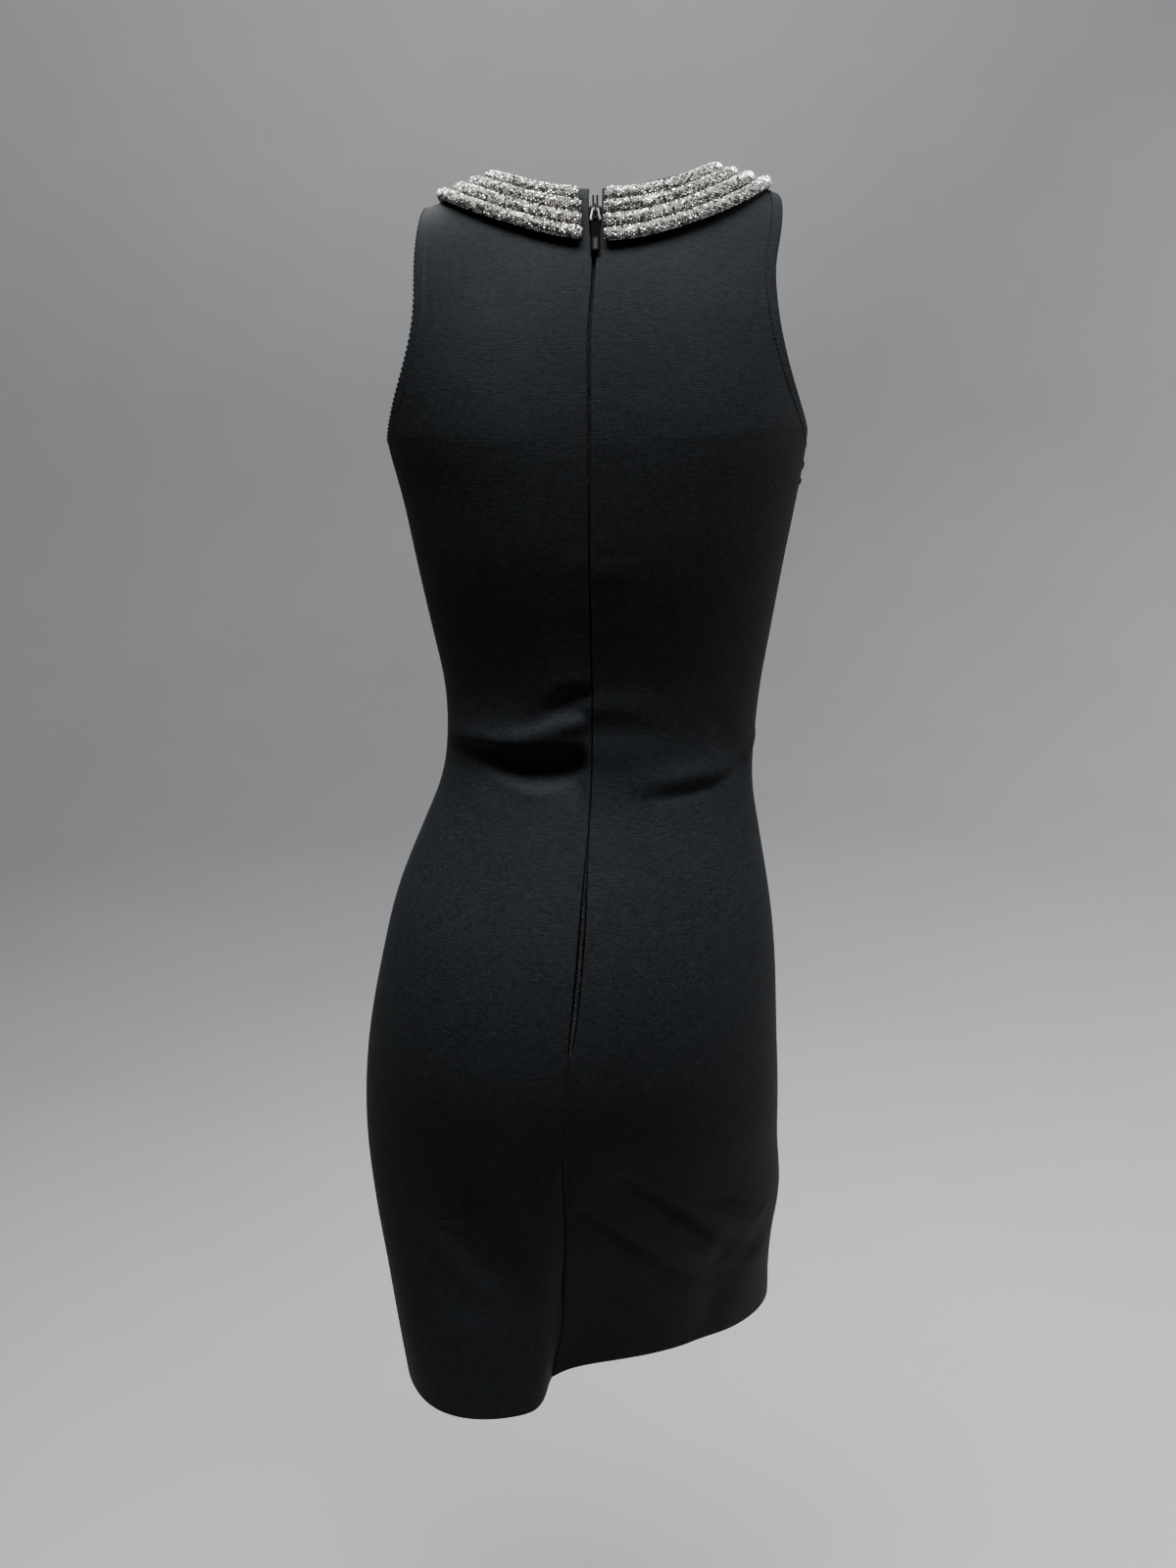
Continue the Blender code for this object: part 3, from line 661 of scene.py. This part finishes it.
def thicken(cloth, thickness, offset, even_wall=False):
    """Gives a sheet its thickness: behind it with an offset of -1, and to both sides with 0."""
    wall = cloth.modifiers.new("Thickness", "SOLIDIFY")
    wall.thickness = thickness
    wall.offset = offset
    wall.use_even_offset = even_wall


def round_edges(piece, width, angle):
    """Rounds the edges that are sharper than an angle."""
    rounding = piece.modifiers.new("Rounded edges", "BEVEL")
    rounding.width = width
    rounding.segments = EDGE_SEGMENTS
    rounding.limit_method = "ANGLE"
    rounding.angle_limit = angle


knit_look = Look("black_rib_knit", {
    "Specular IOR Level": 0.12,
    "Specular Tint": (0.85, 0.94, 1.0, 1),
})
# How uneven the knit is, from its hairs up to a hand's width.
yarn = knit_look.noise(1050.0)
fleck = knit_look.noise(560.0, 3.0)
slub = knit_look.noise(230.0, 3.0, (1, 1, 3.6))
slack = knit_look.noise(45.0)
wear = knit_look.noise(12.0, 3.0)
course = knit_look.number("course") + slack * SLACK_WANDER + fleck * FLECK_WANDER
rib = (course * (2 * pi / RIB)).sine() * 0.5 + 0.5
# The colour is the knit's random unevenness, plus painted shade: a little lighter on the ribs'
# crests and darker in their valleys.
tone_and_rib_shade = rib * 0.12 + yarn * 1.3 + fleck * 0.9 + slub * 1.4 + wear * 0.4 - 1.6
knit_look.colour(tone_and_rib_shade, (0.0003, 0.0005, 0.0008), (0.0081, 0.0092, 0.0106))
knit_look.feed("Roughness", 0.66 + fleck * 0.22 - rib * 0.04)
turned = knit_look.node("MapRange", {"interpolation_type": "SMOOTHSTEP"}, {
    "Value": knit_look.number("edge"),
    "From Min": TURNED - TURNED_END,
    "From Max": TURNED + TURNED_END,
    "To Min": 1.0,
    "To Max": 0.0,
})
band = knit_look.raised(turned, TURNED_HEIGHT)
relief = rib * 0.22 + yarn * 0.6 + fleck * 0.5 + slub * 0.6
knit_look.feed("Normal", knit_look.raised(relief, KNIT_RELIEF, band))

cloths = {}
for node in CUTS:
    cloth = new_piece(node + "_cloth", outer_face(node), knit_look)
    if node == "front":
        soften(cloth)
    smooth = cloth.modifiers.new("Smooth cloth", "SUBSURF")
    smooth.levels = smooth.render_levels = SMOOTHNESS
    settle(cloth)
    cloths[node] = cloth

body = touchable(cloths.values())
zip_edges = {}
for node in OPPOSITE:
    mesh = cloths[node].data
    zip_edges[node] = read(mesh)[points_of(edge_runs(mesh, below_zip))]

stitch_rows = []
shifts = {}
for node, cloth in cloths.items():
    mesh = cloth.data
    points = read(mesh)
    outs = read(mesh, "normal")
    shift = fold_heights(points)
    shifts[node] = (points, shift)
    raised = points + outs * shift[:, None]
    if node in OPPOSITE:
        raised += drawn_together(points, zip_edges[node], zip_edges[OPPOSITE[node]])
    armholes = edge_runs(mesh, on_armhole)
    for run in armholes:
        stitch_rows.append(inside_of(raised[run], outs[run], points.mean(axis=0)))
    from_edge = distances(points, points[points_of(armholes)]).min(axis=1)
    place_points(mesh, raised)
    tag(mesh, "course", course_height(points[:, 2]))
    tag(mesh, "edge", np.minimum(from_edge, FAR))
    mesh.shade_smooth()

skin = touchable(cloths.values())
borders = {node: border_of(cloth) for node, cloth in cloths.items()}

for node, cloth in cloths.items():
    thicken(cloth, WALL, -1, even_wall=True)
    round_edges(cloth, EDGE_ROUNDING, RIM_ANGLE)
    settle(cloth)
    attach(cloth, "dress")
    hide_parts(node)

# ---- Seams ----
# Each seam joins two panels edge to edge, and their turned-in edges lie flat behind it. The opening
# for the zip is left unsewn.

SEAMS = (("back_left", ("front", "back_right")), ("back_right", ("front",)))
SEAM_REACH = 1.5 * MM      # panels whose edges are closer than this are sewn together
SEAM_PACE = 6 * MM
SEAM_CLOTH = 1.2 * MM
SHORT_RUN = 6              # a run of no more points than this is a corner, not a seam
TURNED_IN = 7 * MM
BEHIND = WALL + 0.45 * MM  # from the cloth's face to the middle of the turned-in edges
ZIP_END = -565 * MM
ZIP_SIDE = 40 * MM


def beside_zip(point):
    return abs(point.x) < ZIP_SIDE and point.y > 0 and point.z > ZIP_END


def seam_runs(node, others):
    """The stretches of a panel's border that run along another panel's border."""
    theirs = [point for other in others for run in borders[other] for point in run]
    near = KDTree(len(theirs))
    for index, point in enumerate(theirs):
        near.insert(point, index)
    near.balance()

    def sewn(point):
        return near.find(point)[2] < SEAM_REACH and not beside_zip(point)

    runs = []
    for border in borders[node]:
        for in_seam, run in groupby(border, sewn):
            run = np.array(list(run))
            if in_seam and len(run) > SHORT_RUN:
                runs.append(run)
    return runs


def on_cloth(line, lift):
    """Moves a line onto the cloth's face and a little off it. Also gives the way out."""
    places, outs = [], []
    for point in line:
        near, out = skin.find_nearest(Vector(point))[:2]
        places.append(near + out * lift)
        outs.append(out)
    return np.array(places), np.array(outs)


def strip_faces(first, rows):
    """The faces of a strip of cloth with three points in a row, from its first point on."""
    faces = []
    for row in range(first, first + 3 * (rows - 1), 3):
        faces += [(row, row + 1, row + 4, row + 3), (row + 1, row + 2, row + 5, row + 4)]
    return faces


seam_points, seam_faces = [], []
for node, others in SEAMS:
    for run in seam_runs(node, others):
        run = even(run, SEAM_PACE)
        ways = unit(np.gradient(run, axis=0))
        sides = unit(np.cross(on_cloth(run, 0)[1], ways))
        seam_faces += strip_faces(len(seam_points), len(run))
        rows = np.stack([run - sides * TURNED_IN, run, run + sides * TURNED_IN], axis=1)
        seam_points += list(on_cloth(rows.reshape(-1, 3), -BEHIND)[0])

seam_mesh = bpy.data.meshes.new("seam_edges")
seam_mesh.from_pydata(seam_points, [], seam_faces)
tag(seam_mesh, "course", read(seam_mesh)[:, 2])
tag(seam_mesh, "edge", np.full(len(seam_points), FAR))
seam_edges = new_piece("seam_edges", seam_mesh, knit_look)
thicken(seam_edges, SEAM_CLOTH, 0)
settle(seam_edges)
seam_edges.data.shade_smooth()
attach(seam_edges, "dress")

# ---- Topstitching ----
# A row of black thread, eight stitches to the inch, holds the turned edge of each armhole down.
# Two thread bars sit on the right side seam, under the armhole.

STITCH = 2.3 * MM
STITCH_GAP = 0.8 * MM
STITCH_LIFT = 0.1 * MM
THREAD = 0.34 * MM
THREAD_SIDES = 6
TWIST = 0.05 * MM          # how tall the thread's twist is
STITCH_SHAPE = np.array([  # across, along, up and thickness; along in shares of half a stitch,
    (0, -1, -1, 0.6),      # and the rest in shares of the thread
    (0, -0.7, 0, 1),
    (0, 0, 0.4, 1),
    (0, 0.7, 0, 1),
    (0, 1, -1, 0.6),
])

BARS = ((-183, -191), (-198, -203))  # from and to which height, in millimetres
BAR = 0.75 * MM
BAR_LIFT = 0.4 * BAR
BAR_SHAPE = np.array([0.4, 0.8, 1, 1, 1, 0.8, 0.4])
BAR_SIDES = 8
BESIDE = Vector((-0.3, 0.03, 0))     # out to the right, level with the side seam
STEEP = 0.8                # a wire that rises more than this has its rings set another way


def rings(line, across, up, radii, sides):
    """Points in a ring around each point of a line."""
    turns = 2 * pi * np.arange(sides) / sides
    ring = np.cos(turns)[:, None] * across[:, None, :] + np.sin(turns)[:, None] * up[:, None, :]
    return (line[:, None, :] + ring * radii[:, None, None]).reshape(-1, 3)


def ring_faces(rows, sides):
    """The faces of a round piece that is made of rings and closed at both ends."""
    faces = []
    for row in range(rows - 1):
        for step in range(sides):
            here, there = row * sides + step, row * sides + (step + 1) % sides
            faces.append((here, here + sides, there + sides, there))
    last = (rows - 1) * sides
    faces.append(tuple(range(sides)))
    faces.append(tuple(range(last, last + sides))[::-1])
    return faces


def tube(line, radii, sides):
    """A round wire along a line, as points and faces."""
    ahead = unit(np.gradient(line, axis=0))
    guide = (0.0, 0.0, 1.0) if abs(ahead[0][2]) < STEEP else (0.0, 1.0, 0.0)
    across = unit(np.cross(ahead, guide))
    return rings(line, across, np.cross(across, ahead), radii, sides), ring_faces(len(line), sides)


def copies(points, faces, origins, axes):
    """One mesh of many copies. axes has each copy's three directions, as rows."""
    placed = origins[:, None, :] + np.einsum("pk,nkd->npd", points, axes)
    joined = []
    for first in range(0, len(origins) * len(points), len(points)):
        joined += [tuple(first + corner for corner in face) for face in faces]
    mesh = bpy.data.meshes.new("copies")
    mesh.from_pydata(placed.reshape(-1, 3), [], joined)
    return mesh


thread_look = Look("black_thread", {"Roughness": 0.8, "Specular IOR Level": 0.1})
twist = thread_look.noise(2500.0, 1.0)
thread_look.colour(twist, (0.001, 0.001, 0.001), (0.004, 0.004, 0.005))
thread_look.feed("Normal", thread_look.raised(twist, TWIST))

origins, axes = [], []
for row in stitch_rows:
    laid, outs = on_cloth(even(row, STITCH + STITCH_GAP), STITCH_LIFT)
    ways = unit(np.diff(laid, axis=0))
    sides = unit(np.cross(ways, outs[:-1]))
    origins.append((laid[:-1] + laid[1:]) / 2)
    axes.append(np.stack([sides, ways, np.cross(sides, ways)], axis=1))
stitch_line = STITCH_SHAPE[:, :3] * (THREAD, STITCH / 2, THREAD)
stitch = tube(stitch_line, THREAD * STITCH_SHAPE[:, 3], THREAD_SIDES)
stitches = copies(*stitch, np.vstack(origins), np.vstack(axes))
topstitch = new_piece("topstitch", stitches, thread_look)
topstitch.data.shade_smooth()
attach(topstitch, "dress")

bar_points, bar_faces = [], []
for top, bottom in BARS:
    heights = np.linspace(top, bottom, len(BAR_SHAPE))
    laid = on_cloth([BESIDE + Vector((0, 0, height * MM)) for height in heights], BAR_LIFT)[0]
    points, faces = tube(laid, BAR * BAR_SHAPE, BAR_SIDES)
    bar_faces += [tuple(len(bar_points) + corner for corner in face) for face in faces]
    bar_points += list(points)
bar_mesh = bpy.data.meshes.new("thread_bars")
bar_mesh.from_pydata(bar_points, [], bar_faces)
bar_mesh.shade_smooth()
bars = new_piece("thread_bars", bar_mesh, thread_look)
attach(bars, "dress")

# ---- The zip ----
# A nylon coil zip, 55 cm long, sewn behind the opening on two woven tapes. Its teeth are loops of
# the coil's wire, and the loops of the two sides lie between each other. A woven strip behind the
# coil keeps it off the skin.

WEAVE = 0.12 * MM          # how tall its weave is
TOOTH_PACE = 1.4 * MM
TOOTH_WIRE = 0.34 * MM
TOOTH_SIDES = 6
TOOTH = np.array([  # across, along and out in millimetres, and thickness in shares of the wire
    (2.15, 0.0, -0.36, 0.8), (2.22, 0.0, 0.10, 1), (1.45, 0.1, 0.34, 1),
    (0.2, 0.25, 0.36, 1), (-0.55, 0.32, 0.12, 1.15), (-0.6, 0.34, -0.30, 0.8),
])

BACKING_HALF = 6.5 * MM
BACKING_CLOTH = 0.5 * MM
BACKING_BEHIND = 2.1 * MM  # from the coil's middle
BACKING_TOP = -9.6 * MM
BACKING_PACE = 6 * MM
TOP_TEETH = 40             # the strip runs on above the coil as these teeth do


def moved_along(places, points, shift):
    """Places raised as much as the point of the cloth that is nearest to each of them."""
    nearest = [np.argmin(((points - place) ** 2).sum(axis=1)) for place in places]
    outs = np.array([body.find_nearest(Vector(place))[1] for place in places])
    return places + outs * shift[nearest][:, None]


def coil_rows():
    """The middle of each ring of the coil's CAD mesh, and the way to its left."""
    shape = merged("zip_coil")
    corners = np.array([vert.co for vert in shape.verts])
    shape.free()
    rows = []
    for ring in corners[np.argsort(corners[:, 2])].reshape(-1, 4, 3):
        ring = ring[np.argsort(ring[:, 0])]
        to_left = ring[2:].mean(axis=0) - ring[:2].mean(axis=0)
        rows.append(np.concatenate([ring.mean(axis=0), to_left]))
    return np.array(rows)


def face_outwards(piece):
    """Turns the faces of a piece's mirrored copies outwards too."""
    pick(piece)
    bpy.ops.object.mode_set(mode="EDIT")
    bpy.ops.mesh.select_all(action="SELECT")
    bpy.ops.mesh.normals_make_consistent(inside=False)
    bpy.ops.object.mode_set(mode="OBJECT")


tape_look = Look("woven_tape", {"Roughness": 0.8, "Specular IOR Level": 0.03})
weave = tape_look.noise(1600.0, 1.0)
tape_look.colour(weave, (0.0004, 0.0004, 0.0005), (0.0022, 0.0023, 0.0025))
tape_look.feed("Normal", tape_look.raised(weave, WEAVE))

for side in ("left", "right"):
    node = "zip_tape_" + side
    mesh = as_mesh(merged(node), node + "_cloth")
    place_points(mesh, moved_along(read(mesh), *shifts["back_" + side]))
    mesh.shade_smooth()
    tape = new_piece(node + "_cloth", mesh, tape_look)
    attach(tape, "dress")
    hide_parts(node)

nylon_look = Look("black_nylon", {"Specular IOR Level": 0.15})
haze = nylon_look.noise(700.0)
nylon_look.colour(haze, (0.0010, 0.0010, 0.0012), (0.0050, 0.0050, 0.0056))
nylon_look.feed("Roughness", 0.28 + haze * 0.2)

# Each tooth lies half a pace above the one before it, on the other side.
rows = coil_rows()
at = lengths(rows[:, :3])
stops = np.arange(TOOTH_PACE, at[-1] - TOOTH_PACE / 2, TOOTH_PACE / 2)
teeth = read_off(rows, at, stops)
middles = teeth[:, :3]
lefts = unit(teeth[:, 3:])
ways = unit(np.gradient(middles, axis=0))
outs = unit(np.cross(lefts, ways))
outs[outs[:, 1] < 0] *= -1
lefts[1::2] *= -1
tooth = tube(TOOTH[:, :3] * MM, TOOTH_WIRE * TOOTH[:, 3], TOOTH_SIDES)
coil_mesh = copies(*tooth, middles, np.stack([lefts, ways, outs], axis=1))
coil = new_piece("zip_coil_teeth", coil_mesh, nylon_look)
face_outwards(coil)
coil.data.shade_smooth()
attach(coil, "dress")
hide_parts("zip_coil")

top_run = middles[-1] - middles[-TOP_TEETH]
crown = middles[-1] + top_run * (BACKING_TOP - middles[-1][2]) / top_run[2]
line = even(np.vstack([middles, crown]), BACKING_PACE)
outs = on_cloth(line, 0)[1]
sides = unit(np.cross(unit(np.gradient(line, axis=0)), outs)) * BACKING_HALF
line = line - outs * BACKING_BEHIND
backing_points = np.stack([line - sides, line, line + sides], axis=1).reshape(-1, 3)
backing_mesh = bpy.data.meshes.new("zip_backing")
backing_mesh.from_pydata(backing_points, [], strip_faces(0, len(line)))
backing = new_piece("zip_backing", backing_mesh, tape_look)
thicken(backing, BACKING_CLOTH, 0)
settle(backing)
backing.data.shade_smooth()
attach(backing, "dress")

# ---- The slider, its pull and the zip's ends ----
# A die-cast slider in black lacquer, with a wire ring through its bridge and a moulded rubber tab.
# The tab has a small sunk grip near its lower end.

GRIP_SIZE = (3.0 * MM, 7.6 * MM, 0.5 * MM)
GRIP_RISE = 5.2 * MM       # from the tab's lower end to the middle of the grip
GRIP_RIM = 0.5 * MM
GRIP_DEPTH = 0.2 * MM
GRIP_ROUNDING = 0.14 * MM
GRIP_ANGLE = radians(30)
FACING = 0.9               # a face looks a way if its normal goes this far along it
GRAIN = 0.04 * MM          # how tall the rubber's grain is


def faces_open(piece, wanted):
    """Opens a piece for editing with only the faces selected that are wanted."""
    pick(piece)
    bpy.ops.object.mode_set(mode="EDIT")
    bpy.ops.mesh.select_mode(type="FACE")
    bpy.ops.mesh.select_all(action="DESELECT")
    bpy.ops.object.mode_set(mode="OBJECT")
    for face in piece.data.polygons:
        face.select = wanted(face)
    bpy.ops.object.mode_set(mode="EDIT")


def plate_on(name, size, place, out, look):
    """A plate whose face looks out, with its length up. Its transform is applied."""
    bpy.ops.object.select_all(action="DESELECT")
    turn = out.to_track_quat("Z", "Y").to_euler()
    bpy.ops.mesh.primitive_cube_add(size=1, location=place, rotation=turn, scale=size)
    plate = bpy.context.object
    plate.name = name
    plate.data.materials.append(look.material)
    bpy.ops.object.transform_apply(location=True, rotation=True, scale=True)
    return plate


lacquer_look = Look("black_lacquer", {"Specular IOR Level": 0.03})
rub = lacquer_look.noise(420.0, 3.0)
lacquer_look.colour(rub, (0.0010, 0.0010, 0.0012), (0.005, 0.005, 0.005))
lacquer_look.feed("Roughness", 0.22 + rub * 0.25)

steel_look = Look("grey_steel", {"Metallic": 1.0})
polish = steel_look.noise(650.0)
steel_look.colour(polish, (0.50, 0.49, 0.47), (0.78, 0.77, 0.75))
steel_look.feed("Roughness", 0.22 + polish * 0.2)

rubber_look = Look("black_rubber", {"Specular IOR Level": 0.01})
grain = rubber_look.noise(1800.0)
rubber_look.colour(grain, (0.0006, 0.0006, 0.0008), (0.0022, 0.0022, 0.0025))
rubber_look.feed("Roughness", 0.55 + grain * 0.2)
rubber_look.feed("Normal", rubber_look.raised(grain, GRAIN))

# The grip is coloured lighter than the rubber tab around it, a painted highlight on its rim.
grip_look = Look("grip_painted_highlight", {"Specular IOR Level": 0.05})
highlight_mottle = grip_look.noise(900.0)
grip_look.colour(highlight_mottle, (0.002, 0.002, 0.0024), (0.009, 0.009, 0.009))
grip_look.feed("Roughness", 0.25 + highlight_mottle * 0.25)

for node, look in (
    ("zip_slider", lacquer_look),
    ("coil_end_left", lacquer_look),
    ("coil_end_right", lacquer_look),
    ("zip_stop", lacquer_look),
    ("pull_ring", steel_look),
    ("pull_tab", rubber_look),
):
    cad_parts[node].material_slots[0].material = look.material

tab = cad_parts["pull_tab"]
tab_points = read(tab.data)
behind_tab = Vector((tab_points[:, 0].mean(), 1, tab_points[:, 2].min() + GRIP_RISE))
place, out = touchable([tab]).ray_cast(behind_tab, Vector((0, -1, 0)))[:2]
grip = plate_on("pull_grip", GRIP_SIZE, place, out, grip_look)
faces_open(grip, lambda face: face.normal.dot(out) > FACING)
bpy.ops.mesh.inset(thickness=GRIP_RIM, depth=-GRIP_DEPTH)
bpy.ops.object.mode_set(mode="OBJECT")
round_edges(grip, GRIP_ROUNDING, GRIP_ANGLE)
settle(grip)
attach(grip, "zip_pull")

# ---- The collar ----
# Four padded cords side by side around the neck, each covered with small foiled stones set close
# together in rings. They are sewn to the cloth, and end at the centre back.

CORE = 3.45 * MM
CORE_SIDES = 12
CORE_STEPS = 8             # between two rings of the CAD cord
CORD_REACH = 7.2 * MM      # no point of a cord's end is further from its first point
CORD_FACING = 0.8
END_CORE = 0.45            # the core's thickness at its very end, as a share
NECK_SIDE = 2 * MM         # between the cords' two ends, across
CordEnd = namedtuple("CordEnd", "left right")
CORD_ENDS = {              # how long the rounding of each end is, in millimetres
    "collar_cord_1": CordEnd(1.2, 3.0),
    "collar_cord_2": CordEnd(1.6, 3.0),
    "collar_cord_3": CordEnd(1.2, 1.6),
    "collar_cord_4": CordEnd(1.2, 1.6),
}

STONE = 0.74 * MM          # half a stone's width
STONE_CUT = 6              # its sides
STONE_TOP = 0.55           # its flat top, as a share of its width
CROWN = 0.45 * MM
PAVILION = 0.5 * MM
STONE_PACE = 1.55 * MM
STONES_AROUND = 13
FIRST_RING = 0.3           # from the cord's end, in paces
HIDDEN = -0.62             # no stones where the cord lies on the cloth
STONE_TILT = 0.2
# The stones are alike, but each is given one of these tones at random, from near white to near
# black: painted glints for the stones that catch the light.
GLINT_TONES = (1.0, 0.62, 0.28, 0.03)
GLINT_SHARES = (0.34, 0.26, 0.22, 0.18)
GLINT_SPREAD = 0.04
SEED = 7


def cord_middles(node):
    """The middles of a CAD cord's rings, from its left end to its right end."""
    shape = merged(node)
    first = min(shape.verts, key=lambda vert: atan2(vert.co.x - NECK_SIDE, vert.co.y) % (2 * pi))
    ring = set()
    for face in shape.faces:
        near = (face.calc_center_median() - first.co).length < CORD_REACH
        if near and face.normal.x < -CORD_FACING:
            ring.update(face.verts)
    seen = set(ring)
    middles = []
    while ring:
        middles.append(np.mean(sorted(tuple(vert.co) for vert in ring), axis=0))
        ring = {edge.other_vert(vert) for vert in ring for edge in vert.link_edges} - seen
        seen |= ring
    shape.free()
    return np.array(middles)


def cut_stone():
    """A stone's points and faces: a crown with a flat top over a pointed pavilion."""
    bpy.ops.object.select_all(action="DESELECT")
    bpy.ops.mesh.primitive_cone_add(
        vertices=STONE_CUT, radius1=STONE, radius2=STONE * STONE_TOP, depth=CROWN,
    )
    stone = bpy.context.object
    bpy.ops.transform.translate(value=(0, 0, CROWN / 2))
    bpy.ops.object.transform_apply(location=True)
    faces_open(stone, lambda face: face.normal.z < -FACING)
    bpy.ops.mesh.extrude_region_move(TRANSFORM_OT_translate={"value": (0, 0, -PAVILION)})
    bpy.ops.mesh.merge(type="COLLAPSE")
    bpy.ops.object.mode_set(mode="OBJECT")
    points = read(stone.data)
    faces = sorted(tuple(face.vertices) for face in stone.data.polygons)
    bpy.data.objects.remove(stone)
    return points, faces


def cord_ways(path):
    """The way along a cord, to its side and away from the cloth, at each of its points."""
    ways = unit(np.gradient(path, axis=0))
    ups = np.array([Vector(point) - skin.find_nearest(Vector(point))[0] for point in path])
    ups = unit(ups - ways * (ups * ways).sum(axis=1)[:, None])
    return ways, np.cross(ways, ups), ups


def set_stones(path, ways, sides, ups, radii, leans):
    """One mesh of the stones around a cord. They lean out over its ends."""
    origins, axes, glint_tones = [], [], []
    rows = zip(path, ways, sides, ups, radii, leans)
    for row, (middle, way, side, up, radius, lean) in enumerate(rows):
        for step in range(STONES_AROUND):
            turn = 2 * pi * (step + 0.5 * (row % 2)) / STONES_AROUND
            if sin(turn) < HIDDEN:
                continue
            out = cos(turn) * side + sin(turn) * up
            face = out + lean * way + chance.normal(0, STONE_TILT, 3)
            face /= np.linalg.norm(face)
            across = np.cross(way, face)
            across /= np.linalg.norm(across)
            origins.append(middle + out * radius)
            axes.append((across, np.cross(face, across), face))
            glint_tones.append(chance.choice(GLINT_TONES, p=GLINT_SHARES) + chance.normal(0, GLINT_SPREAD))
    stones = copies(*stone, np.array(origins), np.array(axes))
    tag(stones, "tone", np.repeat(np.clip(glint_tones, 0, 1), len(stone[0])))
    return stones


core_look = Look("stone_setting", {"Metallic": 0.6, "Roughness": 0.5})
pits = core_look.noise(900.0, 1.0)
core_look.colour(pits, (0.03, 0.03, 0.03), (0.16, 0.155, 0.145))

# Each stone's colour follows its painted glint tone, from near black to near white.
stone_look = Look("foiled_stone", {"Metallic": 0.75})
tone = stone_look.number("tone")
stone_look.colour(tone, (0.05, 0.048, 0.044), (0.97, 0.94, 0.88))
stone_look.feed("Roughness", 0.10 + tone * 0.14)

stone = cut_stone()
chance = np.random.default_rng(SEED)
for node, ends in CORD_ENDS.items():
    path = even(through(cord_middles(node), CORE_STEPS), STONE_PACE)
    ways, sides, ups = cord_ways(path)
    from_end = STONE_PACE * (np.arange(len(path)) + FIRST_RING)
    left = np.minimum(from_end / (ends.left * MM), 1)
    right = np.minimum(from_end[::-1] / (ends.right * MM), 1)
    radii = CORE * np.sqrt(1 - (1 - left) ** 2) * np.sqrt(1 - (1 - right) ** 2)
    radii = np.maximum(radii, END_CORE * CORE)

    core = bpy.data.meshes.new(node + "_core")
    core_points = rings(path, sides, ups, radii, CORE_SIDES)
    core.from_pydata(core_points, [], ring_faces(len(path), CORE_SIDES))
    core.shade_smooth()
    cord = new_piece(node + "_core", core, core_look)
    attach(cord, "dress")
    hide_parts(node)

    stones = set_stones(path, ways, sides, ups, radii, left - right)
    sparkle = new_piece(node + "_stones", stones, stone_look)
    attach(sparkle, "dress")
